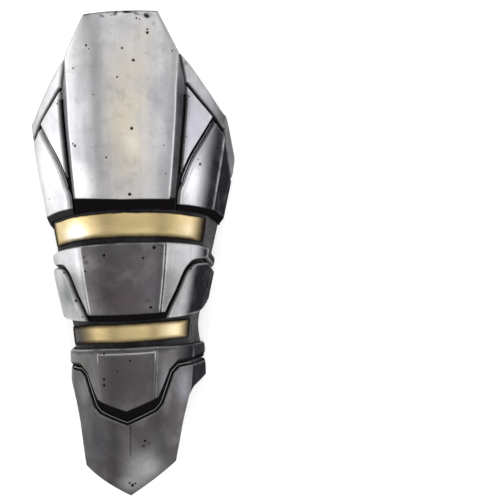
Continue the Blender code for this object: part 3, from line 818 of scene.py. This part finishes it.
# The gunmetal's tints, too, are painted highlights and shade among tarnish patches.
gunmetal = dict(agedSilver, roughness=0.372, roughnessSpread=0.12, cloudScale=30, tintsAndPaintedLight=(
    (120, 303, 34, 14, (0.120, 0.080, 0.088), 0.50),
    (105, 292, 16, 12, (0.062, 0.044, 0.044), 0.55),
    (60, 302, 28, 46, (0.105, 0.125, 0.105), 0.90),
    (56, 262, 14, 12, (0.34, 0.35, 0.36), 0.60), (71, 258, 14, 12, (0.50, 0.50, 0.52), 0.80),
    (150, 285, 16, 30, (0.145, 0.140, 0.160), 0.60),
    (110, 250, 34, 10, (0.120, 0.120, 0.118), 0.50),
    (130, 378, 30, 26, (0.080, 0.062, 0.070), 0.55),
    (84, 366, 18, 22, (0.062, 0.082, 0.060), 0.70),
    (128, 428, 12, 14, (0.090, 0.062, 0.064), 0.45),
    (96, 440, 22, 44, (0.052, 0.054, 0.060), 0.85),
    (118, 446, 14, 34, (0.062, 0.060, 0.062), 0.60),
    (144, 468, 32, 28, (0.440, 0.435, 0.440), 0.95),
    (130, 484, 22, 14, (0.420, 0.415, 0.420), 0.80),
    (166, 388, 8, 34, (0.420, 0.420, 0.450), 0.70),
    (160, 444, 18, 26, (0.150, 0.150, 0.156), 0.60),
    (184, 385, 12, 30, (0.300, 0.290, 0.340), 0.90),
    (83, 390, 12, 26, (0.270, 0.290, 0.270), 0.80),
), smears=((86, 262, 4, 4, 0.4), (148, 300, 5, 4, 0.4)))
brass = {
    "light": (0.74, 0.58, 0.31), "dark": (0.52, 0.40, 0.19), "edge": (0.012, 0.008, 0.005),
    "roughness": 0.31, "roughnessSpread": 0.08, "cloudScale": 26, "grainScale": 420,
    "grainBump": 0.00003, "bump": 0.3, "raggedAcross": 0.16, "raggedAlong": 0.02,
    "topFade": 0.14, "footFade": 0.50,  # shares of half the width over which the edges go dark in painted shade; the top one is the painted shadow of the plates above
    "leftFade": 0.060, "rightFade": 0.135, "leftDim": 0.0, "dimSpan": (0.08, 0.42),  # and of the length: the dark ends of the brass paint, and leftDim, painted shade on the left part over dimSpan
    # painted highlights on the brass
    "tintsAndPaintedLight": ((76, 234, 22, 16, (1.00, 0.97, 0.86), 0.95), (188, 230, 12, 14, (0.90, 0.78, 0.55), 0.60)),
}
lining = {"light": (0.040, 0.039, 0.045), "dark": (0.014, 0.014, 0.017), "roughness": 0.5, "cloudScale": 60}


# Noise patterns. Columns: detail, roughness, distortion, the two noise values between which the
# pattern steps, and its own values there. A look gives the scales that are not in the next table.
patterns = {
    "clouds": (5.0, 0.6, 0.4, 0.34, 0.66, 0.0, 1.0),
    "drawnClouds": (5.0, 0.6, 0.3, 0.35, 0.65, 0.0, 1.0),
    "dullClouds": (5.0, 0.6, 0.0, 0.35, 0.65, 0.0, 1.0),
    "wipes": (3.0, 0.55, 0.0, 0.35, 0.7, 0.0, 1.0),
    "mottle": (5.0, 0.68, 0.5, 0.48, 0.74, 0.0, 1.0),
    "patchy": (4.0, 0.6, 0.0, 0.3, 0.65, 0.5, 1.0),
    "speckle": (2.0, 0.5, 0.0, 0.70, 0.78, 0.0, 1.0),
    "uneven": (4.0, 0.6, 0.0, 0.3, 0.7, 0.95, 1.04),
    "rub": (4.0, 0.6, 0.0, 0.32, 0.6, 0.3, 1.0),
    "ragged": (4.0, 0.65, 0.0, 0.38, 0.62, 0.0, 1.0),
}
patternScales = {"patchy": 45, "speckle": 260, "uneven": 60, "rub": 70, "ragged": 170}


def feed(tree, node, inputs):  # links or sets a node's inputs
    for socket, value in inputs.items():
        if isinstance(value, bpy.types.NodeSocket):
            tree.links.new(value, node.inputs[socket])
        else:
            node.inputs[socket].default_value = value


def put(tree, kind, inputs=None, **options):  # adds a node with its options and inputs
    node = tree.nodes.new(kind)
    for option, value in options.items():
        setattr(node, option, value)
    feed(tree, node, inputs or {})
    return node


def calc(tree, operation, a, b=0.0, clamp=False):
    return put(tree, "ShaderNodeMath", {0: a, 1: b}, operation=operation, use_clamp=clamp).outputs[0]


def times(tree, a, b, clamp=False):
    return calc(tree, "MULTIPLY", a, b, clamp)


def vector(tree, operation, a, b=(0, 0, 0)):
    node = put(tree, "ShaderNodeVectorMath", {0: a, 1: b}, operation=operation)
    return node.outputs["Value" if operation in ("LENGTH", "DISTANCE") else "Vector"]


def band(tree, value, low, high, start=0.0, end=1.0):  # a smooth step from start at low to end at high
    inputs = {"Value": value, "From Min": low, "From Max": high, "To Min": start, "To Max": end}
    return put(tree, "ShaderNodeMapRange", inputs, interpolation_type="SMOOTHSTEP").outputs[0]


def blended(tree, factor, first, second):  # a colour laid over what is there
    inputs = {0: factor, 6: first, 7: rgba(second)}
    return put(tree, "ShaderNodeMix", inputs, data_type="RGBA", clamp_factor=True).outputs[2]


def rgba(colour):
    return (*colour, 1)


def noise(tree, place, scale, detail=4.0, rough=0.55, distortion=0.0):
    inputs = {"Vector": place, "Scale": scale, "Detail": detail, "Roughness": rough}
    return put(tree, "ShaderNodeTexNoise", dict(inputs, Distortion=distortion)).outputs[0]


def pattern(tree, place, name, scale=None):
    detail, rough, distortion, *step = patterns[name]
    cloth = noise(tree, place, scale or patternScales[name], detail, rough, distortion)
    return band(tree, cloth, *step)


def mark(tree, name):
    return put(tree, "ShaderNodeAttribute", attribute_name=name).outputs["Fac"]


def newMaterial(name):
    made = bpy.data.materials.new(name)
    made.use_nodes = True
    tree = made.node_tree
    place = put(tree, "ShaderNodeTexCoord").outputs["Object"]
    return made, tree, place, tree.nodes["Principled BSDF"]


def spotShare(tree, level, spot, strength):  # how much of a charted spot lies on a place
    across, down, reachAcross, reachDown = spot
    place = placeUnder(across, down, frameTree)
    offset = vector(tree, "SUBTRACT", level, (place.x, place.y, 0))
    scaled = vector(tree, "DIVIDE", offset, (reachAcross * pixelSize, reachDown * pixelSize, 1))
    gap = vector(tree, "LENGTH", scaled)
    return band(tree, gap, 0.0, 1.0, strength, 0.0)


def finishMetal(tree, shader, look, colour, clouds, sootAndShade, grimeAndShade, height):
    roughness = calc(tree, "ADD", times(tree, clouds, -look["roughnessSpread"]), look["roughness"])
    roughness = calc(tree, "ADD", roughness, times(tree, sootAndShade, 0.2), clamp=True)
    bump = {"Height": height, "Strength": look["bump"], "Distance": look["grainBump"]}
    bump = put(tree, "ShaderNodeBump", bump)
    # where painted shade, wash and soot lie, the metal turns to a dark non-metal
    metallic = calc(tree, "SUBTRACT", 1.0, grimeAndShade, clamp=True)
    feed(tree, shader, {"Base Color": colour, "Metallic": metallic, "Roughness": roughness,
                        "Normal": bump.outputs[0], "Specular IOR Level": 0.0})


def metalMaterial(name, look):
    made, tree, place, shader = newMaterial(name)
    level = vector(tree, "MULTIPLY", place, (1, 1, 0))
    clouds = pattern(tree, place, "clouds", look["cloudScale"])
    grain = noise(tree, place, look["grainScale"], 3.0, 0.6)
    turned = {"Vector": place, "Rotation": (0, 0, 0.75), "Scale": (1, 0.07, 1)}
    turned = put(tree, "ShaderNodeMapping", turned).outputs[0]
    wipes = pattern(tree, turned, "wipes", look["streakScale"])
    mixed = calc(tree, "ADD", times(tree, clouds, 1 - look["wipes"]), times(tree, wipes, look["wipes"]))
    colour = blended(tree, mixed, rgba(look["dark"]), look["light"])
    smoke = times(tree, mark(tree, "smoke"), band(tree, clouds, 0.0, 1.0, 1.05, 0.93), clamp=True)
    colour = blended(tree, smoke, colour, look["smoke"])
    patchy = pattern(tree, place, "patchy")
    # painted highlights, reflections and shade, and tarnish patches
    for *spot, tint, strength in look["tintsAndPaintedLight"]:
        colour = blended(tree, times(tree, spotShare(tree, level, spot, strength), patchy), colour, tint)
    mottle = pattern(tree, place, "mottle", look["mottleScale"])
    colour = blended(tree, times(tree, mottle, look["mottle"]), colour, look["smoke"])
    specks = times(tree, pattern(tree, place, "speckle"), look["specks"])
    colour = blended(tree, specks, colour, look["wash"])
    shade = times(tree, mark(tree, "shade"), pattern(tree, place, "uneven"), clamp=True)
    colour = blended(tree, shade, colour, look["shade"])
    # rubbed edges and painted highlights
    rubbedAndHighlit = times(tree, mark(tree, "worn"), pattern(tree, place, "rub"))
    colour = blended(tree, rubbedAndHighlit, colour, look["bright"])
    # dark hems, seam wash and painted shade, then smears and pits
    sootAndShade = calc(tree, "MAXIMUM", mark(tree, "hem"), mark(tree, "wash"))
    ragged = pattern(tree, place, "ragged")
    for *spot, strength in look["smears"]:
        share = times(tree, spotShare(tree, level, spot, strength * 1.6), ragged, clamp=True)
        sootAndShade = calc(tree, "MAXIMUM", sootAndShade, share)
    sootAndShade = calc(tree, "MAXIMUM", sootAndShade, mark(tree, "pit"), clamp=True)
    colour = blended(tree, sootAndShade, colour, look["wash"])
    height = calc(tree, "ADD", grain, times(tree, wipes, look["wipeBump"]))
    grimeAndShade = calc(tree, "MAXIMUM", sootAndShade, times(tree, shade, calc(tree, "SUBTRACT", 1.0, rubbedAndHighlit)))
    finishMetal(tree, shader, look, colour, clouds, sootAndShade, grimeAndShade, height)
    return made


def brassMaterial(name, look):
    made, tree, place, shader = newMaterial(name)
    level = vector(tree, "MULTIPLY", place, (1, 1, 0))
    drawn = put(tree, "ShaderNodeMapping", {"Vector": place, "Scale": (0.35, 1.6, 1)}).outputs[0]
    clouds = pattern(tree, drawn, "drawnClouds", look["cloudScale"])
    colour = blended(tree, clouds, rgba(look["dark"]), look["light"])
    # painted highlights and reflections
    for *spot, tint, strength in look["tintsAndPaintedLight"]:
        colour = blended(tree, spotShare(tree, level, spot, strength), colour, tint)
    rub = calc(tree, "SUBTRACT", noise(tree, place, 90, 4.0, 0.6), 0.5)
    across = calc(tree, "SUBTRACT", times(tree, rub, look["raggedAcross"]), mark(tree, "across"))
    along = calc(tree, "ADD", mark(tree, "along"), times(tree, rub, look["raggedAlong"]))
    # painted shade over the band's left part
    dim = band(tree, along, *look["dimSpan"], look["leftDim"], 0.0)
    colour = blended(tree, dim, colour, look["edge"])
    # dark edges: painted shade at the top and foot, and the dark ends of the brass paint
    sootAndShade = band(tree, across, 1.0 - look["topFade"], 1.0)
    fades = (band(tree, across, -1.0, look["footFade"] - 1.0, 1.0, 0.0),
             band(tree, along, 0.005, look["leftFade"], 1.0, 0.0),
             band(tree, along, 1.0 - look["rightFade"], 0.995))
    for fade in fades:
        sootAndShade = calc(tree, "MAXIMUM", sootAndShade, fade, clamp=True)
    colour = blended(tree, sootAndShade, colour, look["edge"])
    grain = noise(tree, place, look["grainScale"], 3.0, 0.6)
    finishMetal(tree, shader, look, colour, clouds, sootAndShade, sootAndShade, grain)
    return made


def liningMaterial(name, look):
    made, tree, place, shader = newMaterial(name)
    clouds = pattern(tree, place, "dullClouds", look["cloudScale"])
    colour = blended(tree, clouds, rgba(look["dark"]), look["light"])
    height = noise(tree, place, 220, 5.0, 0.7)
    bump = put(tree, "ShaderNodeBump", {"Height": height, "Strength": 0.5, "Distance": 0.0004})
    roughness = band(tree, height, 0.3, 0.7, look["roughness"] - 0.08, look["roughness"] + 0.12)
    feed(tree, shader, {"Base Color": colour, "Metallic": 0.1, "Roughness": roughness,
                        "Normal": bump.outputs[0], "Specular IOR Level": 0.05})
    return made


silverMetal = metalMaterial("agedSilver", agedSilver)
gunMetal = metalMaterial("gunmetal", gunmetal)
upperBrass = brassMaterial("upperBrass", brass)
# The lower band is the same brass with its left part in painted shade, wider painted shade along its edges
# and its own painted highlights.
lowerBrass = brassMaterial("lowerBrass", dict(brass, topFade=0.55, footFade=0.60, leftDim=1.0, tintsAndPaintedLight=(
    (172, 330, 14, 12, (0.92, 0.80, 0.55), 0.80), (132, 334, 16, 8, (0.50, 0.40, 0.22), 0.50))))
darkLining = liningMaterial("darkLining", lining)
print("materials ready")


def geometryTree(name, sockets):  # a node tree with named inputs, and its input and output nodes
    tree = bpy.data.node_groups.new(name, "GeometryNodeTree")
    tree.interface.new_socket("Geometry", in_out="INPUT", socket_type="NodeSocketGeometry")
    for socket, kind in sockets:
        tree.interface.new_socket(socket, in_out="INPUT", socket_type=kind)
    tree.interface.new_socket("Geometry", in_out="OUTPUT", socket_type="NodeSocketGeometry")
    return tree, tree.nodes.new("NodeGroupInput").outputs, tree.nodes.new("NodeGroupOutput").inputs


def applied(piece, tree, values):  # runs a tree on a piece and keeps the result as its plain mesh
    modifier = piece.modifiers.new(tree.name, "NODES")
    modifier.node_group = tree
    for item in tree.interface.items_tree:
        if item.in_out == "INPUT" and item.name in values:
            modifier[item.identifier] = values[item.name]
    graph = bpy.context.evaluated_depsgraph_get()
    mesh = bpy.data.meshes.new_from_object(piece.evaluated_get(graph))
    piece.modifiers.clear()
    old = piece.data
    piece.data = mesh
    bpy.data.meshes.remove(old)
    mesh.name = piece.name
    return piece


def named(tree, name, kind="FLOAT"):
    return put(tree, "GeometryNodeInputNamedAttribute", {"Name": name}, data_type=kind).outputs[0]


def stored(tree, geometry, name, value):
    inputs = {"Geometry": geometry, "Name": name, "Value": value}
    node = put(tree, "GeometryNodeStoreNamedAttribute", inputs, data_type="FLOAT", domain="POINT")
    return node.outputs[0]


def finishTree(tree, geometry, given, result):  # the metal, and plain geometry to the output
    coated = put(tree, "GeometryNodeSetMaterial", {"Geometry": geometry, "Material": given["Metal"]})
    real = put(tree, "GeometryNodeRealizeInstances", {"Geometry": coated.outputs[0]})
    tree.links.new(real.outputs[0], result[0])
    return tree


# The sweep lays a bar along a path on the shell. Its section is a rounded rectangle.
def sweepTree():
    sockets = [(name, "NodeSocketFloat") for name in ("Width", "Thickness", "Corner")]
    tree, given, result = geometryTree("barOnShell", sockets + [("Metal", "NodeSocketMaterial")])
    path = put(tree, "GeometryNodeMeshToCurve", {"Mesh": given["Geometry"]}).outputs[0]
    facing = {"Curve": path, "Normal": named(tree, "up", "FLOAT_VECTOR")}
    path = put(tree, "GeometryNodeSetCurveNormal", facing, mode="FREE").outputs[0]
    path = stored(tree, path, "along", put(tree, "GeometryNodeSplineParameter").outputs["Factor"])
    circle = put(tree, "GeometryNodeCurvePrimitiveCircle", {"Resolution": 40, "Radius": 1.0}).outputs[0]
    place = put(tree, "ShaderNodeSeparateXYZ", {0: put(tree, "GeometryNodeInputPosition").outputs[0]})
    squared = []
    for axis in (0, 1):
        size = calc(tree, "POWER", calc(tree, "ABSOLUTE", place.outputs[axis]), given["Corner"])
        squared.append(times(tree, size, calc(tree, "SIGN", place.outputs[axis])))
    rise = times(tree, calc(tree, "MAXIMUM", squared[0], 0.0), given["Thickness"])
    side = times(tree, squared[1], times(tree, given["Width"], 0.5))
    spot = put(tree, "ShaderNodeCombineXYZ", {0: rise, 1: side}).outputs[0]
    section = {"Geometry": stored(tree, circle, "across", squared[1]), "Position": spot}
    section = put(tree, "GeometryNodeSetPosition", section).outputs[0]
    swept = {"Curve": path, "Profile Curve": section, "Fill Caps": True}
    swept = put(tree, "GeometryNodeCurveToMesh", swept).outputs[0]
    merged = put(tree, "GeometryNodeMergeByDistance", {"Geometry": swept, "Distance": merge})
    smooth = put(tree, "GeometryNodeSetShadeSmooth", {"Geometry": merged.outputs[0]})
    return finishTree(tree, smooth.outputs[0], given, result)


# The denting presses the charted pits into a plate and makes its skin a little uneven.
def dentTree():
    sockets = [(name, "NodeSocketFloat") for name in ("Rim", "Waviness", "Wave Scale")]
    sockets += [("Pits", "NodeSocketObject"), ("Metal", "NodeSocketMaterial")]
    tree, given, result = geometryTree("castSkin", sockets)
    spots = put(tree, "GeometryNodeObjectInfo", {"Object": given["Pits"]}, transform_space="ORIGINAL")
    spots = spots.outputs["Geometry"]
    place = put(tree, "GeometryNodeInputPosition").outputs[0]
    nearest = {"Geometry": spots, "Sample Position": place}
    nearest = put(tree, "GeometryNodeSampleNearest", nearest, domain="POINT").outputs[0]

    def sampled(value, kind):  # a value of the pit that lies nearest
        inputs = {"Geometry": spots, "Value": value, "Index": nearest}
        return put(tree, "GeometryNodeSampleIndex", inputs, data_type=kind, domain="POINT").outputs[0]

    radius = sampled(named(tree, "radius"), "FLOAT")
    depth = sampled(named(tree, "depth"), "FLOAT")
    ratio = calc(tree, "DIVIDE", vector(tree, "DISTANCE", place, sampled(place, "FLOAT_VECTOR")), radius)
    pit = band(tree, ratio, 0.50, 1.15, 1.0, 0.0)
    offRing = calc(tree, "ABSOLUTE", times(tree, calc(tree, "SUBTRACT", ratio, 1.25), 2.2))
    ring = calc(tree, "SUBTRACT", 1.0, offRing, clamp=True)
    dent = times(tree, calc(tree, "SUBTRACT", times(tree, ring, given["Rim"]), pit), depth)
    wave = {"Vector": place, "Scale": given["Wave Scale"], "Detail": 2.0}
    wave = calc(tree, "SUBTRACT", put(tree, "ShaderNodeTexNoise", wave).outputs[0], 0.5)
    wave = times(tree, times(tree, wave, given["Waviness"]), named(tree, "skin"))
    normal = put(tree, "GeometryNodeInputNormal").outputs[0]
    lift = {0: normal, "Scale": calc(tree, "ADD", dent, wave)}
    offset = put(tree, "ShaderNodeVectorMath", lift, operation="SCALE").outputs[0]
    moved = {"Geometry": stored(tree, given["Geometry"], "pit", pit), "Offset": offset}
    moved = put(tree, "GeometryNodeSetPosition", moved).outputs[0]
    return finishTree(tree, moved, given, result)


barOnShell = sweepTree()
castSkin = dentTree()

skinLook = {"Rim": 0.08, "Waviness": 0.00035, "Wave Scale": 38.0}


def pitMarkers(piece):  # the charted pits that lie on this piece, moved onto its skin
    corners = np.array([tuple(v.co) for v in piece.data.vertices])
    rows = []
    for s, y, radius, depth in pitRows:
        guess = wrap(np.array([[s, y]]), pitSearch["start"])[0]
        gap = np.linalg.norm(corners - guess, axis=1)
        spot = gap.argmin()
        if gap[spot] < pitSearch["reach"]:
            rows.append((corners[spot], radius, depth))
    if not rows:
        rows.append(((0, 0, 10.0), 0.001, 0.001))  # too far away to dent anything
    mesh = bpy.data.meshes.new("pitMarkers")
    mesh.from_pydata([tuple(row[0]) for row in rows], [], [])
    for index, name in ((1, "radius"), (2, "depth")):
        values = [row[index] for row in rows]
        mesh.attributes.new(name, "FLOAT", "POINT").data.foreach_set("value", values)
    return linked("pitMarkers", mesh)


def weathered(piece, metal):
    markers = pitMarkers(piece)
    applied(piece, castSkin, dict(skinLook, Pits=markers, Metal=metal))
    bpy.data.objects.remove(markers)
    return piece


def layBar(name, path, bar, metal, spacing=0.0012):  # a bar along a flat path
    run = [path[0]]
    for a, b in zip(path, path[1:]):
        steps = max(1, round(np.linalg.norm(b - a) / spacing))
        run.extend(a + (b - a) * (i + 1) / steps for i in range(steps))
    run = np.array(run)
    links = [(i, i + 1) for i in range(len(run) - 1)]
    mesh = bpy.data.meshes.new(name)
    mesh.from_pydata(wrap(run, gauntlet["seatGap"]).tolist(), links, [])
    up = mesh.attributes.new("up", "FLOAT_VECTOR", "POINT")
    up.data.foreach_set("vector", surfaceNormals(run).ravel())
    piece = linked(name, mesh)
    applied(piece, barOnShell, {"Width": bar["width"], "Thickness": bar["thickness"],
                                "Corner": bar["corner"], "Metal": metal})
    print(name, len(piece.data.polygons))
    return piece


# The brass bands and the thin lips in the grooves, laid along their middles (shares)
bandEnd = 0.960
bandBar = {"thickness": 0.0016, "corner": 0.30}
upperBand = dict(bandBar, width=0.0186, left=((0.000, 0.0730), (0.500, 0.0705), (bandEnd, 0.0600)),
                 right=((0.000, 0.0730), (0.500, 0.0692), (bandEnd, 0.0578)))
lowerBand = dict(bandBar, width=0.0146, left=((0.000, -0.1500), (0.500, -0.1520), (bandEnd, -0.1585)),
                 right=((0.000, -0.1500), (0.500, -0.1503), (bandEnd, -0.1525)))
wristLip = {"width": 0.0009, "thickness": 0.0015, "corner": 0.6, "smoke": 0.7}
leafLip = {"width": 0.0008, "thickness": 0.0026, "corner": 0.6, "smoke": 0.75, "offset": 0.0013}


def makeBand(name, piece, metal):
    path = flat(mirrored(curve(piece["left"]))[:-1] + curve(piece["right"]))
    return layBar(name, path, piece, metal)


def makeLip(name, path, piece, metal):
    lip = layBar(name, path, piece, metal)
    smoke = [piece["smoke"]] * len(lip.data.vertices)
    lip.data.attributes.new("smoke", "FLOAT", "POINT").data.foreach_set("value", smoke)
    return lip


def makeWristLip(metal):
    right = list(wristSeam)[1:]
    return makeLip("wristLip", flat(right[:-1] + mirrored(right)), wristLip, metal)


def makeLeafLip(right, metal):  # lies on the flank's side of the groove beside the leaf
    path = flat(curve(leafSeam))[2:-5]
    step = np.gradient(path, axis=0)
    side = np.column_stack([-step[:, 1], step[:, 0]]) / np.linalg.norm(step, axis=1)[:, None]
    path = path + side * leafLip["offset"]
    return makeLip("rightLip" if right else "leftLip", path if right else path * (-1, 1), leafLip, metal)


def finishPiece(piece, slot, *nodes):
    if nodes:
        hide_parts(*nodes)
    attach(piece, "root")


def finishPlate(make, slot, node, *side):
    metal = silverMetal if slot == "upper_plates" else gunMetal
    finishPiece(weathered(make(*side, metal), metal), slot, node)


def buildGauntlet():
    finishPiece(makeShell(darkLining), "shell", "arm_shell")
    finishPlate(makeCentrePanel, "upper_plates", "centre_panel")
    for right, side in ((False, "left"), (True, "right")):
        finishPlate(makeRim, "upper_plates", f"{side}_rim", right)
        finishPlate(makeUpperLeaf, "upper_plates", f"{side}_upper_leaf", right)
        finishPlate(makeFlank, "upper_plates", f"{side}_flank", right)
        finishPlate(makePad, "lower_plates", f"{side}_pad", right)
        finishPiece(makeLeafLip(right, silverMetal), "upper_plates")
    finishPlate(makeMidPlate, "lower_plates", "mid_plate")
    finishPlate(makeWristCollar, "lower_plates", "wrist_collar")
    finishPlate(makeHandPlate, "lower_plates", "hand_plate")
    finishPiece(makeBand("upperBand", upperBand, upperBrass), "bands", "upper_band")
    finishPiece(makeBand("lowerBand", lowerBand, lowerBrass), "bands", "lower_band")
    finishPiece(makeWristLip(gunMetal), "lower_plates")


buildGauntlet()
print("gauntlet built")

# The studio: a pale floor, soft lights and the photograph's camera. The surround is a soft
# gradient from left to right: columns are the direction's sideways share and the brightness.
studio = {
    "floorSize": 6.0,
    "floorColour": (0.93, 0.93, 0.93),
    "floorGlow": 0.45,
    "surround": ((-1.0, 2.00), (-0.95, 1.65), (-0.88, 1.30), (-0.78, 0.90), (-0.66, 0.48),
                 (-0.50, 0.66), (-0.30, 0.86), (0.0, 0.95), (0.40, 1.00), (0.63, 1.02),
                 (0.79, 0.46), (0.93, 0.92), (1.0, 1.25)),
    "surroundScale": 2.0,  # the brightness that the ramp's white stands for
}
softboxes = (
    {"name": "leftSoftbox", "place": (-0.75, 0.05, 0.45), "size": 0.8, "power": 0.30},
    {"name": "topSoftbox", "place": (-0.25, 0.75, 0.85), "size": 0.6, "power": 0.50},
    {"name": "rightSoftbox", "place": (0.85, 0.10, 0.40), "size": 0.35, "power": 0.06},
)


def makeFloor():
    half = studio["floorSize"] / 2
    mesh = bpy.data.meshes.new("floor")
    corners = [(-half, -half, 0), (half, -half, 0), (half, half, 0), (-half, half, 0)]
    mesh.from_pydata(corners, [], [(0, 1, 2, 3)])
    made = bpy.data.materials.new("paleFloor")
    made.use_nodes = True
    feed(made.node_tree, made.node_tree.nodes["Principled BSDF"], {
        "Base Color": rgba(studio["floorColour"]), "Roughness": 0.9,
        "Emission Color": (1, 1, 1, 1), "Emission Strength": studio["floorGlow"]})
    mesh.materials.append(made)
    linked("floor", mesh)


def makeLights():
    world = bpy.data.worlds.new("studio")
    world.use_nodes = True
    tree = world.node_tree
    direction = put(tree, "ShaderNodeTexCoord").outputs["Generated"]
    leftRight = put(tree, "ShaderNodeSeparateXYZ", {0: direction}).outputs[0]
    share = put(tree, "ShaderNodeMath", {0: leftRight, 1: 0.5, 2: 0.5}, operation="MULTIPLY_ADD")
    ramp = put(tree, "ShaderNodeValToRGB", {0: share.outputs[0]})
    ramp.color_ramp.interpolation = "EASE"
    stops = ramp.color_ramp.elements
    while len(stops) < len(studio["surround"]):
        stops.new(0.5)
    for stop, (place, value) in zip(stops, studio["surround"]):
        stop.position = place / 2 + 0.5
        stop.color = rgba([value / studio["surroundScale"]] * 3)
    feed(tree, tree.nodes["Background"], {"Color": ramp.outputs[0], "Strength": studio["surroundScale"]})
    bpy.context.scene.world = world
    for box in softboxes:
        light = bpy.data.lights.new(box["name"], "AREA")
        light.shape = "SQUARE"
        light.size = box["size"]
        light.energy = box["power"]
        lamp = linked(box["name"], light)
        lamp.location = box["place"]
        lamp.rotation_euler = (-Vector(box["place"])).to_track_quat("-Z", "Y").to_euler()


def makeCamera():
    data = bpy.data.cameras.new("camera")
    data.lens = view["lens"]
    data.sensor_width = view["sensor"]
    camera = linked("camera", data)
    camera.location = view["place"]
    camera.rotation_euler = (0, 0, view["turn"])
    bpy.context.scene.camera = camera


makeFloor()
makeLights()
makeCamera()
bpy.context.scene.view_settings.view_transform = "Standard"
print("studio ready")
